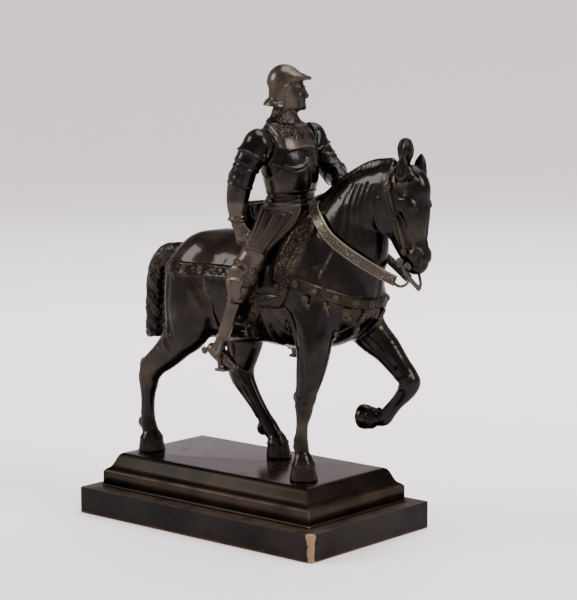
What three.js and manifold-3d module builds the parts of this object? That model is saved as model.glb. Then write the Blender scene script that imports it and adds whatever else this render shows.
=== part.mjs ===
// An equestrian statuette in patinated bronze: a walking horse with an armoured rider in the saddle, on a moulded
// bronze plinth over a wooden slab. Millimetres, +Z up. +X is the way the horse walks and +Y is its left side. The
// origin is the middle of the slab's underside.
import * as THREE from "three";
import Module from "manifold-3d";

const wasm = await Module();
wasm.setup();

// Driving dimensions
const slabLength = 200;
const slabWidth = 117.5;
const slabHeight = 17.5;
const slabCornerRadius = 1.8;
const slabEdgeChamfer = 0.9;
const slabMargin = 10.5; // of the slab that shows all round the moulding
const mouldingFascia = 10.4; // height of the upright face at the moulding's foot
const mouldingArris = 0.5; // the rounding of the fascia's upper edge
const cymaHeight = 11.8; // from the fascia to the flat top: hollow below, round above
const cymaDepth = 11;
const seatGap = 0.3; // between pieces that rest on each other
const groupHeight = 256; // from the plinth's top to the crown of the helmet
const reinWidth = 7;
const reinThickness = 1.1;
const farReinWidth = 5.4;
const bitWire = 1.25; // radius of the bit's cheeks
const linkWire = 0.75;

// The figures' carving is written in parts, of which the group is 256 high, measured from the plinth's top
const part = groupHeight / 256;
const horseStep = 1.8; // spacing of the grid that the horse is carved on, in parts
const riderStep = 1.3;
const horseFaces = 4300;
const riderFaces = 2850;

// A row is x, y, z, half depth and half width of an elliptic section
const trunk = [
  [-46, 0, 112.5, 15, 15], [-40, 0, 113, 26.5, 22], [-28, 0, 113, 34.5, 27], [-12, 0, 113.5, 36.5, 28.5],
  [15, 0, 114, 35, 30], [42, 0, 116, 38, 29], [62, 0, 117, 36, 25.5], [76, 0, 116, 27, 22],
  [83, 0, 116, 19, 17],
];
const neck = [
  [62, 0, 128, 36, 21], [78, 0, 142, 34, 19], [88, 0, 158, 28, 16], [95.5, 0, 168, 24, 13.5],
  [103, 0, 175, 20.5, 11.5], [110, 0, 179.5, 17.5, 10],
];
const head = [
  [114, 0, 184, 13, 9], [122.5, 0, 179.5, 15.8, 10.8], [125.8, 0, 171.5, 15.9, 11],
  [125.8, 0, 161, 14, 9.2], [127.5, 0, 153, 11.6, 7.6], [130.5, 0, 146.5, 10, 6.9], [132, 0, 143, 9.4, 7],
  [132, 0, 142, 8.8, 6.8],
];
const standingForeleg = [
  [64, -17, 118, 20, 9], [68, -20, 100, 16, 10], [71, -22, 84, 12, 9.2], [69.5, -22.7, 70, 9.6, 8.4],
  [67.8, -23, 60, 7.2, 7.2], [65.5, -23, 53, 6.1, 6.4], [64.8, -23, 48, 5.6, 6.2], [64.4, -23, 42, 4.6, 5.2],
  [63.2, -23, 36, 3.4, 3.9], [62.6, -23, 29, 3.4, 3.8], [61.8, -23, 22, 4.8, 4.6], [63.2, -23.2, 15.5, 4.6, 4.8],
  [64, -23.3, 11, 6.6, 6.8], [64.3, -23.3, 0, 8.9, 8.9], [64.3, -23.3, -4, 9.2, 9.2],
];
const raisedForeleg = [
  [72, 15, 108, 18, 9], [84, 17, 91, 12.5, 9.5], [96, 18, 81.5, 9.6, 8.4], [106, 18, 72, 7.6, 7.2],
  [113, 18, 65, 6.9, 6.8], [114.5, 18, 60.5, 6.6, 6.6], [111, 18, 54.5, 5.4, 5.2], [105, 18, 48, 4.3, 4],
  [99, 18, 41.5, 4.6, 4.2], [95, 18, 37.5, 5.2, 4.8], [89, 18, 35.8, 4.4, 4.6], [85, 18, 35.8, 6.4, 6.4],
  [80, 18, 36, 7.9, 7.6], [76.5, 18, 36, 7.4, 7.4],
];
const hindLegBack = [
  [-35, -17, 117, 20.5, 12.5], [-34.5, -19.5, 101, 20.5, 13], [-35.5, -21, 88, 17, 11.5],
  [-43.5, -21.5, 77, 12.2, 10], [-54, -22, 67, 10, 8.4], [-64, -22, 59.5, 8.6, 7],
  [-69.8, -22, 52, 7.4, 6.4], [-71, -22, 45, 6.2, 5.6], [-71.6, -22, 38, 4.6, 4.7],
  [-72, -22, 30, 4.2, 4.3], [-72.2, -22, 22, 4.8, 4.6], [-71.4, -22, 16.5, 5.4, 5.2],
  [-69.3, -22, 11.5, 5.4, 5.6], [-68.6, -22, 8, 6.8, 7], [-68.3, -22, 0, 8.4, 8.5],
  [-68.3, -22, -4, 8.7, 8.7],
];
const hindLegForward = [
  [-34, 15, 115, 21.5, 12.5], [-29, 17, 99, 20.5, 13], [-22, 17.5, 82, 16, 11], [-21, 17, 68, 11, 9],
  [-23.5, 17, 58, 9.4, 7.6], [-22.5, 17, 50, 8.4, 6.6], [-17, 17, 42, 6.4, 5.4], [-9.5, 17, 33, 4.8, 4.5],
  [-3.5, 17, 25, 4.9, 4.5], [1, 17, 19, 5.8, 5.2], [5.5, 17, 14, 5.2, 5.4], [7.8, 17, 10, 6.6, 6.8],
  [9, 17, 0, 8.4, 8.5], [9, 17, -4, 8.7, 8.7],
];
const tail = [
  [-50, 0, 131, 6.4, 6.4], [-61, 0, 131.8, 6.2, 6.2], [-71.5, 0, 130.6, 6.4, 6.4],
  [-79.4, 0, 125, 6.8, 6.6], [-84, 0, 114.5, 7, 6.6], [-85.4, 0, 101, 7, 6.6], [-85.8, 0, 87, 6.9, 6.6],
  [-85.8, 0, 78, 6.8, 6.6], [-85.8, 0, 73, 6.6, 6.4],
];
const mane = [
  [52, 0, 166, 5, 3], [65, 0, 173.5, 5.5, 3.2], [77, 0, 182.5, 5.5, 3.2], [89, 0, 189.5, 5.5, 3],
  [101, 0, 194.5, 5.5, 3], [113, 0, 196.5, 5, 3],
];
const forelock = [
  [121, 0, 188, 4, 3.6], [122.4, 0, 196, 3.4, 3.2], [123.4, 0, 200.5, 3.4, 3.2],
  [123.9, 0, 204, 4.6, 4.3], [124, 0, 206.6, 4.9, 4.5], [124.1, 0, 209.8, 3.8, 3.5],
  [124.1, 0, 212.1, 1.4, 1.4],
];

const ear = [
  [125.6, 6.4, 188.4, 3.4, 3], [127.6, 8.6, 191, 4, 3.6], [128.1, 9, 194.2, 4.4, 3.7],
  [128.4, 9, 198, 3.7, 3], [128.9, 9, 201.3, 2.1, 1.8], [129.1, 9, 203.5, 0.7, 0.7],
];
const hockBack = [
  [-52, -22, 77, 5, 4], [-63, -22, 66.5, 3.4, 3.2], [-72.6, -22, 58.6, 3.6, 3.4], [-74.6, -22, 50, 3, 3],
];
// The rider's sections
const torso = [
  [30, 0, 152, 13, 16], [31.5, 0, 161, 14.5, 18.5], [33.5, 0, 169, 14, 17.5], [34, 0, 175, 13, 16],
  [33.5, 0, 183, 14.2, 18], [32.5, 0, 192, 15.4, 20.5], [31, 0, 200, 15, 21.5], [29.5, 0, 207, 13, 21],
  [28.6, 0, 213, 10.6, 17.6], [28.4, 0, 217, 8.6, 11.5],
];
const throat = [
  [28, 0, 212, 9.4, 11], [28, 0, 218, 8.6, 9.2], [28.4, 0, 225, 7.5, 7.6], [29, 0, 234, 7, 7],
];
const restingArm = [
  [28.5, -22.5, 205.4, 9.4, 9], [26.6, -28.4, 200.4, 9.4, 8.8], [24.6, -31.8, 193.6, 8, 7.6],
  [22.6, -33.2, 187, 8.2, 7.8], [20.6, -33.8, 180, 7.8, 7.4], [19, -33.8, 171, 7, 6.4],
  [18.4, -33, 162, 5.2, 4.9], [18.6, -32.5, 159, 4.6, 4.2],
];
const reinArm = [
  [30.5, 22.5, 205.4, 9.4, 9], [31.5, 28.4, 201, 9.4, 8.8], [35.5, 31.2, 194.8, 8, 7.6],
  [41, 31.6, 188.8, 8.2, 7.8], [47, 29, 185.8, 7.4, 7.2], [53.5, 24, 184, 6.2, 6.2],
  [59, 18.5, 181.5, 4.9, 4.7],
];
const leg = [
  [32, 13, 156, 12, 9], [31, 19, 149, 11, 9], [28.5, 26, 140, 9.8, 8.6], [24.5, 31.5, 130.5, 8.6, 7.8],
  [22, 33.5, 122, 8, 7.4], [19.5, 34, 114, 6.8, 6.6], [15, 34, 104, 6.2, 6.2], [8.5, 33.6, 93, 5.2, 5.2],
  [3, 33.4, 84, 4.4, 4.4], [1, 33.4, 80, 4.2, 4.2],
];
const foot = [
  [-3, 33.4, 77, 3.8, 3.6], [3, 34.2, 74.5, 4.2, 4.2], [10, 35.4, 71.5, 4.2, 4.6], [16.5, 36.6, 69, 3, 3.6],
  [19, 37, 68, 1.8, 2.4],
];
const skirt = [
  [37, 11, 166, 13, 8], [38, 16, 158, 11.5, 8.5], [35, 23, 149.5, 9.6, 8.6], [32.6, 28, 142.5, 8.4, 7.6],
];
// Side view of the plate that hangs over each thigh, corners in order
const tasset = [[29.4, 171], [25.5, 143.3], [40.3, 139.7], [51, 160.2], [44, 170.5]];

const far = 9; // what a block of clay holds where nothing has been laid
const add = (a, b) => [a[0] + b[0], a[1] + b[1], a[2] + b[2]];
const scale = (a, s) => [a[0] * s, a[1] * s, a[2] * s];
const minus = (a, b) => add(a, scale(b, -1));
const dot = (a, b) => a[0] * b[0] + a[1] * b[1] + a[2] * b[2];
const cross = (a, b) => [a[1] * b[2] - a[2] * b[1], a[2] * b[0] - a[0] * b[2], a[0] * b[1] - a[1] * b[0]];
const unit = (a) => scale(a, 1 / Math.max(Math.hypot(...a), 1e-9));
const clamp = (v, low = 0, high = 1) => Math.min(Math.max(v, low), high);
const flipped = (rows) => rows.map(([x, y, ...rest]) => [x, -y, ...rest]);

// Catmull-Rom through the rows, every number of each
function smoothRows(rows, spans = 4) {
  if (rows.length < 3) return rows;
  const first = rows[0].map((v, i) => 2 * v - rows[1][i]);
  const last = rows.at(-1).map((v, i) => 2 * v - rows.at(-2)[i]);
  const all = [first, ...rows, last];
  const out = [];
  for (let i = 1; i < all.length - 2; i++)
    for (let s = 0; s < spans; s++) {
      const t = s / spans;
      const [a, b, c, d] = all.slice(i - 1, i + 3);
      out.push(b.map((v, j) => 0.5 * (2 * v + (c[j] - a[j]) * t + (2 * a[j] - 5 * v + 4 * c[j] - d[j]) * t * t
        + (3 * v - a[j] - 3 * c[j] + d[j]) * t ** 3)));
    }
  out.push(rows.at(-1));
  return out;
}

// A frame of its own: an origin, turned about Z and then tipped about Y, in degrees
class Frame {
  constructor(origin = [0, 0, 0], turn = 0, tip = 0) {
    const [t, d] = [turn, tip].map((v) => (v * Math.PI) / 180);
    this.origin = origin;
    this.axes = [
      [Math.cos(t) * Math.cos(d), Math.sin(t) * Math.cos(d), -Math.sin(d)],
      [-Math.sin(t), Math.cos(t), 0],
      [Math.cos(t) * Math.sin(d), Math.sin(t) * Math.sin(d), Math.cos(d)],
    ];
  }
  out(p) {
    const turned = this.axes.map((axis, i) => scale(axis, p[i]));
    return turned.reduce(add, this.origin);
  }
  local(p) {
    const q = minus(p, this.origin);
    return this.axes.map((axis) => dot(axis, q));
  }
}
const home = new Frame();

// A block of modelling clay: on each point of a grid, roughly how far the surface is, minus inside
class Clay {
  constructor(low, high, step) {
    this.low = low;
    this.step = step;
    this.size = low.map((v, i) => Math.ceil((high[i] - v) / step) + 1);
    this.field = new Float32Array(this.size[0] * this.size[1] * this.size[2]).fill(far);
    this.nearest = new Float32Array(this.field.length).fill(far * far);
    this.touched = [];
  }
  // Remembers the least distance that a shape in the making has to a grid point, and then hands them all over
  note(at, distance) {
    if (this.nearest[at] === far * far) this.touched.push(at);
    if (distance < this.nearest[at]) this.nearest[at] = distance;
  }
  flush(work) {
    for (const at of this.touched) {
      work(at, this.nearest[at]);
      this.nearest[at] = far * far;
    }
    this.touched = [];
  }
  index(i, j, k) {
    return (i * this.size[1] + j) * this.size[2] + k;
  }
  // Runs work(index, point) over the grid points between two corners
  over(low, high, work) {
    const from = low.map((v, i) => clamp(Math.floor((v - this.low[i]) / this.step), 0, this.size[i] - 1));
    const to = high.map((v, i) => clamp(Math.ceil((v - this.low[i]) / this.step), 0, this.size[i] - 1));
    for (let i = from[0]; i <= to[0]; i++)
      for (let j = from[1]; j <= to[1]; j++)
        for (let k = from[2]; k <= to[2]; k++) {
          const x = this.low[0] + i * this.step;
          const y = this.low[1] + j * this.step;
          const z = this.low[2] + k * this.step;
          work(this.index(i, j, k), x, y, z);
        }
  }
  // Lays clay on, or cuts it away, with a soft fillet of about the blend's width
  lay(at, distance, blend) {
    const held = this.field[at];
    const h = blend > 0 ? clamp(0.5 + (0.5 * (distance - held)) / blend) : Number(distance > held);
    this.field[at] = distance + (held - distance) * h - blend * h * (1 - h);
  }
  cut(at, distance, blend) {
    const held = this.field[at];
    const h = blend > 0 ? clamp(0.5 + (0.5 * (held + distance)) / blend) : Number(held > -distance);
    this.field[at] = -distance + (held + distance) * h + blend * h * (1 - h);
  }
  // A limb of elliptic sections along its rows
  limb(rows, blend = 3, { frame = home, carve = false, spans = 4, trim = null } = {}) {
    const path = smoothRows(rows, spans);
    const reach = blend + 2 * this.step;
    for (let s = 0; s + 1 < path.length; s++) {
      const [a, b] = [path[s], path[s + 1]];
      const along = minus(b, a);
      const square = Math.max(dot(along, along), 1e-9);
      const ends = [a, b].map((row) => frame.out(row));
      const grow = reach + Math.max(a[3], a[4], b[3], b[4]);
      const low = [0, 1, 2].map((i) => Math.min(ends[0][i], ends[1][i]) - grow);
      const high = [0, 1, 2].map((i) => Math.max(ends[0][i], ends[1][i]) + grow);
      const [o, [ax, ay, az]] = [frame.origin, frame.axes];
      this.over(low, high, (at, x, y, z) => {
        const p = x - o[0];
        const q = y - o[1];
        const r = z - o[2];
        let u = ax[0] * p + ax[1] * q + ax[2] * r - a[0];
        let v = ay[0] * p + ay[1] * q + ay[2] * r - a[1];
        let w = az[0] * p + az[1] * q + az[2] * r - a[2];
        const t = clamp((u * along[0] + v * along[1] + w * along[2]) / square);
        u -= t * along[0];
        v -= t * along[1];
        w -= t * along[2];
        const deep = Math.max(a[3] + t * (b[3] - a[3]), 0.15);
        const wide = Math.max(a[4] + t * (b[4] - a[4]), 0.15);
        const rr = u * u + w * w;
        const vv = v * v;
        const near = Math.sqrt(rr / deep ** 2 + vv / wide ** 2);
        const slope = Math.sqrt(rr / deep ** 4 + vv / wide ** 4);
        const distance = (near * (near - 1)) / Math.max(slope, 1e-4);
        this.note(at, trim ? Math.max(distance, trim(...frame.local([x, y, z]))) : distance);
      });
    }
    this.flush((at, distance) => (carve ? this.cut(at, distance, blend) : this.lay(at, distance, blend)));
  }
  // An ellipsoid
  ball(centre, radii, blend = 3, { frame = home, carve = false, trim = null } = {}) {
    const middle = frame.out(centre);
    const grow = Math.max(...radii) + blend + 2 * this.step;
    const [[ax, ay, az], [mx, my, mz], [rx, ry, rz]] = [frame.axes, middle, radii];
    this.over(middle.map((v) => v - grow), middle.map((v) => v + grow), (at, x, y, z) => {
      const p = x - mx;
      const q = y - my;
      const r = z - mz;
      const u = (ax[0] * p + ax[1] * q + ax[2] * r) / rx;
      const v = (ay[0] * p + ay[1] * q + ay[2] * r) / ry;
      const w = (az[0] * p + az[1] * q + az[2] * r) / rz;
      const near = Math.sqrt(u * u + v * v + w * w);
      const slope = Math.sqrt((u / rx) ** 2 + (v / ry) ** 2 + (w / rz) ** 2);
      let distance = (near * (near - 1)) / Math.max(slope, 1e-4);
      if (trim) distance = Math.max(distance, trim(...frame.local([x, y, z])));
      if (carve) this.cut(at, distance, blend);
      else this.lay(at, distance, blend);
    });
  }
  // A block with rounded edges
  block(centre, half, blend = 1, { frame = home, carve = false, round = 1 } = {}) {
    const middle = frame.out(centre);
    const grow = Math.hypot(...half) + blend + 2 * this.step;
    this.over(middle.map((v) => v - grow), middle.map((v) => v + grow), (at, x, y, z) => {
      const q = minus(frame.local([x, y, z]), centre).map((v, i) => Math.abs(v) - half[i] + round);
      const outside = Math.hypot(...q.map((v) => Math.max(v, 0)));
      const distance = outside + Math.min(Math.max(...q), 0) - round;
      if (carve) this.cut(at, distance, blend);
      else this.lay(at, distance, blend);
    });
  }
  // Raises the surface inside a box, or sinks it, by what height(x, y, z) says
  raise(low, high, height) {
    this.over(low, high, (at, x, y, z) => {
      this.field[at] -= height(x, y, z);
    });
  }
  // Raises or sinks the surface along a line: a round bead, or a flat strap
  line(points, width, height, { flat = false, frame = home, spans = 4 } = {}) {
    if (points.length < 2) return;
    const path = smoothRows(points, spans).map((p) => frame.out(p));
    const reach = width + 2 * this.step;
    for (let s = 0; s + 1 < path.length; s++) {
      const [a, b] = [path[s], path[s + 1]];
      const along = minus(b, a);
      const square = Math.max(dot(along, along), 1e-9);
      const low = [0, 1, 2].map((i) => Math.min(a[i], b[i]) - reach);
      const high = [0, 1, 2].map((i) => Math.max(a[i], b[i]) + reach);
      const [ax, ay, az] = along;
      this.over(low, high, (at, x, y, z) => {
        const u = x - a[0];
        const v = y - a[1];
        const w = z - a[2];
        const t = clamp((u * ax + v * ay + w * az) / square);
        const distance = Math.sqrt((u - t * ax) ** 2 + (v - t * ay) ** 2 + (w - t * az) ** 2);
        this.note(at, distance);
      });
    }
    this.flush((at, distance) => {
      this.field[at] -= flat
        ? height * clamp((width / 2 - distance) / this.step + 0.5)
        : height * clamp(1 - (distance / width) ** 2) ** 2;
    });
  }
  // The field between grid points
  value(p) {
    const q = p.map((v, i) => clamp((v - this.low[i]) / this.step, 0, this.size[i] - 1.001));
    const [i, j, k] = q.map(Math.floor);
    const [f, g, h] = q.map((v) => v - Math.floor(v));
    let sum = 0;
    for (let n = 0; n < 8; n++) {
      const [a, b, c] = [n & 1, (n >> 1) & 1, n >> 2];
      const share = (a ? f : 1 - f) * (b ? g : 1 - g) * (c ? h : 1 - h);
      sum += share * this.field[this.index(i + a, j + b, k + c)];
    }
    return sum;
  }
  slope(p) {
    const e = this.step;
    const sides = [[e, 0, 0], [0, e, 0], [0, 0, e]];
    return unit(sides.map((side) => this.value(add(p, side)) - this.value(minus(p, side))));
  }
  // Where a straight line from start first meets the clay, or null where it passes by
  land(start, direction, most = 80) {
    for (let s = 0; s < most; s += this.step / 3) {
      const p = add(start, scale(direction, s));
      if (this.value(p) < 0) return p;
    }
    return null;
  }
  // Fills the grid points that would let two sheets of the surface touch at an edge or a corner
  settle() {
    const [ni, nj, nk] = this.size;
    const steps = [this.index(1, 0, 0), this.index(0, 1, 0), 1];
    const pairs = [[0, 1], [0, 2], [1, 2]];
    const corners = [0, 1, 2, 3, 4, 5, 6, 7].map((n) => (n & 1) * steps[0] + ((n >> 1) & 1) * steps[1] + (n >> 2));
    const f = this.field;
    for (let i = 0; i < ni; i++)
      for (let j = 0; j < nj; j++)
        for (let k = 0; k < nk; k++) {
          const rim = i === 0 || j === 0 || k === 0 || i === ni - 1 || j === nj - 1 || k === nk - 1;
          if (rim) f[this.index(i, j, k)] = far;
        }
    let changed = true;
    while (changed) {
      changed = false;
      for (let i = 0; i + 1 < ni; i++)
        for (let j = 0; j + 1 < nj; j++)
          for (let k = 0; k + 1 < nk; k++) {
            const at = this.index(i, j, k);
            for (const [a, b] of pairs) {
              const [p, q, r, s] = [at, at + steps[a], at + steps[b], at + steps[a] + steps[b]];
              const inside = f[p] < 0;
              if (f[s] < 0 !== inside || f[q] < 0 === inside || f[r] < 0 === inside) continue;
              for (const n of [p, q, r, s]) f[n] = Math.min(f[n], -0.01);
              changed = true;
            }
            for (let n = 0; n < 4; n++) {
              const one = f[at + corners[n]] < 0;
              if (f[at + corners[7 - n]] < 0 !== one) continue;
              if (corners.some((c, m) => m !== n && m !== 7 - n && f[at + c] < 0 === one)) continue;
              for (const c of corners) f[at + c] = Math.min(f[at + c], -0.01);
              changed = true;
            }
          }
    }
  }
  // The surface where the field holds the given level: one point a mixed cell, two triangles a crossed edge
  net(level = 0) {
    if (level) this.field = this.field.map((v) => v - level);
    this.settle();
    const [ni, nj, nk] = this.size;
    const f = this.field;
    const points = [];
    const cells = new Map();
    const steps = [this.index(1, 0, 0), this.index(0, 1, 0), 1];
    const vertex = (i, j, k) => {
      const at = this.index(i, j, k);
      if (cells.has(at)) return cells.get(at);
      const sum = [0, 0, 0];
      let count = 0;
      for (let n = 0; n < 8; n++)
        for (let axis = 0; axis < 3; axis++) {
          if ((n >> axis) & 1) continue;
          const corner = [n & 1, (n >> 1) & 1, n >> 2];
          const p = at + corner[0] * steps[0] + corner[1] * steps[1] + corner[2];
          const q = p + steps[axis];
          if (f[p] < 0 === f[q] < 0) continue;
          for (let m = 0; m < 3; m++) sum[m] += corner[m];
          sum[axis] += f[p] / (f[p] - f[q]);
          count++;
        }
      const cell = [i, j, k];
      points.push(sum.map((v, m) => this.low[m] + this.step * (cell[m] + v / count)));
      cells.set(at, points.length - 1);
      return points.length - 1;
    };
    const triangles = [];
    for (let i = 0; i + 1 < ni; i++)
      for (let j = 0; j + 1 < nj; j++)
        for (let k = 0; k + 1 < nk; k++)
          for (let axis = 0; axis < 3; axis++) {
            const at = this.index(i, j, k);
            const inside = f[at] < 0;
            if (f[at + steps[axis]] < 0 === inside) continue;
            const b = (axis + 1) % 3;
            const c = (axis + 2) % 3;
            const ring = [[0, 0], [-1, 0], [-1, -1], [0, -1]].map(([db, dc]) => {
              const cell = [i, j, k];
              cell[b] += db;
              cell[c] += dc;
              return vertex(...cell);
            });
            const [p, q, r, s] = inside ? ring : ring.reverse();
            triangles.push([p, q, r], [p, r, s]);
          }
    return largestShell(points, triangles);
  }
}

// Keeps the biggest connected surface and drops loose crumbs
function largestShell(points, triangles) {
  const parent = points.map((_, i) => i);
  const find = (i) => {
    while (parent[i] !== i) i = parent[i] = parent[parent[i]];
    return i;
  };
  for (const [a, b, c] of triangles) {
    parent[find(a)] = find(b);
    parent[find(b)] = find(c);
  }
  const count = new Map();
  for (const [a] of triangles) count.set(find(a), (count.get(find(a)) ?? 0) + 1);
  const root = [...count].sort((p, q) => q[1] - p[1])[0][0];
  return { points, triangles: triangles.filter(([a]) => find(a) === root) };
}

// Merges the shortest-error edges one by one until only so many triangles are left; the surface stays closed
function simplify({ points, triangles }, target) {
  const n = points.length;
  const pos = points.map((p) => [...p]);
  const quadric = Array.from({ length: n }, () => new Float64Array(10));
  const faces = triangles.map((t) => [...t]);
  const ring = Array.from({ length: n }, () => new Set());
  const normalOf = (a, b, c) => cross(minus(b, a), minus(c, a));
  faces.forEach((t, i) => {
    const [a, b, c] = t.map((v) => pos[v]);
    const raw = normalOf(a, b, c);
    const area = Math.hypot(...raw);
    const [x, y, z] = unit(raw);
    const w = -dot([x, y, z], a);
    const plane = [x * x, x * y, x * z, x * w, y * y, y * z, y * w, z * z, z * w, w * w];
    for (const v of t) {
      ring[v].add(i);
      plane.forEach((q, m) => {
        quadric[v][m] += q * area;
      });
    }
  });
  const errorAt = (q, [x, y, z]) => q[0] * x * x + 2 * q[1] * x * y + 2 * q[2] * x * z + 2 * q[3] * x
    + q[4] * y * y + 2 * q[5] * y * z + 2 * q[6] * y + q[7] * z * z + 2 * q[8] * z + q[9];
  const bestPoint = (q, a, b) => {
    const middle = scale(add(a, b), 0.5);
    const [m0, m1, m2, m4, m5, m7] = [q[0], q[1], q[2], q[4], q[5], q[7]];
    const det = m0 * (m4 * m7 - m5 * m5) - m1 * (m1 * m7 - m5 * m2) + m2 * (m1 * m5 - m4 * m2);
    if (Math.abs(det) > 1e-3 * (m0 + m4 + m7) ** 3 / 27) {
      const [r0, r1, r2] = [-q[3], -q[6], -q[8]];
      const x = (r0 * (m4 * m7 - m5 * m5) - m1 * (r1 * m7 - m5 * r2) + m2 * (r1 * m5 - m4 * r2)) / det;
      const y = (m0 * (r1 * m7 - m5 * r2) - r0 * (m1 * m7 - m5 * m2) + m2 * (m1 * r2 - r1 * m2)) / det;
      const z = (m0 * (m4 * r2 - r1 * m5) - m1 * (m1 * r2 - r1 * m2) + r0 * (m1 * m5 - m4 * m2)) / det;
      const p = [x, y, z];
      if (Math.hypot(...minus(p, middle)) < 2 * Math.hypot(...minus(a, b))) return p;
    }
    return [middle, a, b].reduce((p, c) => (errorAt(q, c) < errorAt(q, p) ? c : p));
  };
  const heap = [];
  const stamp = new Int32Array(n);
  const push = (entry) => {
    let i = heap.push(entry) - 1;
    while (i > 0) {
      const up = (i - 1) >> 1;
      if (heap[up].cost <= entry.cost) break;
      heap[i] = heap[up];
      i = up;
    }
    heap[i] = entry;
  };
  const pop = () => {
    const top = heap[0];
    const last = heap.pop();
    if (heap.length) {
      let i = 0;
      for (;;) {
        let child = 2 * i + 1;
        if (child >= heap.length) break;
        if (child + 1 < heap.length && heap[child + 1].cost < heap[child].cost) child++;
        if (heap[child].cost >= last.cost) break;
        heap[i] = heap[child];
        i = child;
      }
      heap[i] = last;
    }
    return top;
  };
  const sum = new Float64Array(10);
  const offer = (a, b) => {
    for (let m = 0; m < 10; m++) sum[m] = quadric[a][m] + quadric[b][m];
    const p = bestPoint(sum, pos[a], pos[b]);
    const length = Math.hypot(...minus(pos[a], pos[b]));
    const cost = Math.max(errorAt(sum, p), 0) + 1e-4 * length ** 2;
    push({ cost, a, b, p, at: stamp[a] + stamp[b] });
  };
  const neighbours = (v) => {
    const out = new Set();
    for (const i of ring[v]) for (const w of faces[i]) if (w !== v) out.add(w);
    return out;
  };
  for (const [a, b, c] of faces) {
    if (a < b) offer(a, b);
    if (b < c) offer(b, c);
    if (c < a) offer(c, a);
  }
  const turnsOver = (v, other, p) => {
    for (const i of ring[v]) {
      const t = faces[i];
      if (t.includes(other)) continue;
      const before = normalOf(...t.map((w) => pos[w]));
      const after = normalOf(...t.map((w) => (w === v ? p : pos[w])));
      const size = Math.hypot(...after);
      if (size < 1e-4 || dot(before, after) < 0.3 * Math.hypot(...before) * size) return true;
    }
    return false;
  };
  let left = faces.length;
  const gone = new Uint8Array(n);
  while (left > target && heap.length) {
    const { a, b, p, at } = pop();
    if (gone[a] || gone[b] || at !== stamp[a] + stamp[b]) continue;
    const shared = neighbours(b);
    let common = 0;
    for (const v of neighbours(a)) if (shared.has(v)) common++;
    if (common !== 2 || turnsOver(a, b, p) || turnsOver(b, a, p)) continue;
    for (const i of [...ring[b]]) {
      const t = faces[i];
      if (t.includes(a)) {
        for (const v of t) ring[v].delete(i);
        faces[i] = null;
        left--;
      } else {
        t[t.indexOf(b)] = a;
        ring[a].add(i);
      }
    }
    gone[b] = 1;
    pos[a] = p;
    for (let m = 0; m < 10; m++) quadric[a][m] += quadric[b][m];
    stamp[a]++;
    for (const v of neighbours(a)) offer(a, v);
  }
  const used = new Map();
  const kept = faces.filter(Boolean).map((t) => t.map((v) => {
    if (!used.has(v)) used.set(v, used.size);
    return used.get(v);
  }));
  return { points: [...used.keys()].map((v) => pos[v]), triangles: kept };
}

// A closed mesh as a solid that can be joined and cut, a solid as a mesh, and as a three.js geometry
function solidOf({ points, triangles }) {
  const solid = new wasm.Mesh({
    numProp: 3,
    vertProperties: new Float32Array(points.flat()),
    triVerts: new Uint32Array(triangles.flat()),
  });
  return new wasm.Manifold(solid);
}
function meshOf(solid) {
  const { vertProperties, triVerts, numProp } = solid.getMesh();
  const points = [];
  for (let at = 0; at < vertProperties.length; at += numProp) points.push([...vertProperties.subarray(at, at + 3)]);
  const triangles = [];
  for (let at = 0; at < triVerts.length; at += 3) triangles.push([...triVerts.subarray(at, at + 3)]);
  return { points, triangles };
}
function geometryOf(solid) {
  const { points, triangles } = meshOf(solid);
  const geometry = new THREE.BufferGeometry();
  geometry.setAttribute("position", new THREE.Float32BufferAttribute(points.flat(), 3));
  geometry.setIndex(triangles.flat());
  geometry.computeVertexNormals();
  return geometry;
}

// Straps and seams follow the clay: points in side view are dropped on to it from the side
const sideLine = (clay, side, rows) => rows.map(([x, z]) => clay.land([x, side * 45, z], [0, -side, 0])).filter(Boolean);

function carveHorse() {
  const clay = new Clay([-104, -46, -7], [152, 46, 226], horseStep);
  clay.limb(trunk, 0);
  clay.limb(neck, 8);
  for (const side of [1, -1]) {
    clay.ball([-28, 12 * side, 123.5], [23, 16, 24], 8); // haunch
    clay.ball([-46, 11 * side, 108], [14.5, 10, 22], 6); // buttock
    clay.ball([56, 15 * side, 130], [16, 12, 24], 8); // shoulder blade
    clay.ball([72, 14 * side, 110], [17, 12, 17], 6); // point of the shoulder
    clay.ball([88, 9 * side, 112], [12, 9, 15], 5); // breast
  }
  for (const rows of [standingForeleg, raisedForeleg]) clay.limb(rows, 5);
  for (const rows of [hindLegBack, hindLegForward]) clay.limb(rows, 6);
  clay.limb(hockBack, 3);
  clay.limb([[-30, 17, 76, 5, 4], [-31, 17, 66, 3.2, 3.2], [-32.5, 17, 56, 3.4, 3.4], [-27, 17, 47, 3, 3]], 3);
  clay.limb(head, 4);
  clay.limb(tail, 3);
  clay.block([-86, 0, 63.5], [12, 12, 9.4], 0.5, { carve: true });
  clay.block([67, 18, 36], [10, 12, 12], 0.5, { carve: true }); // the raised hoof's flat sole
  carveHead(clay);
  carveMane(clay);
  carveLegs(clay);
  carveSaddle(clay);
  carveStraps(clay);
  return clay;
}

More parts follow.
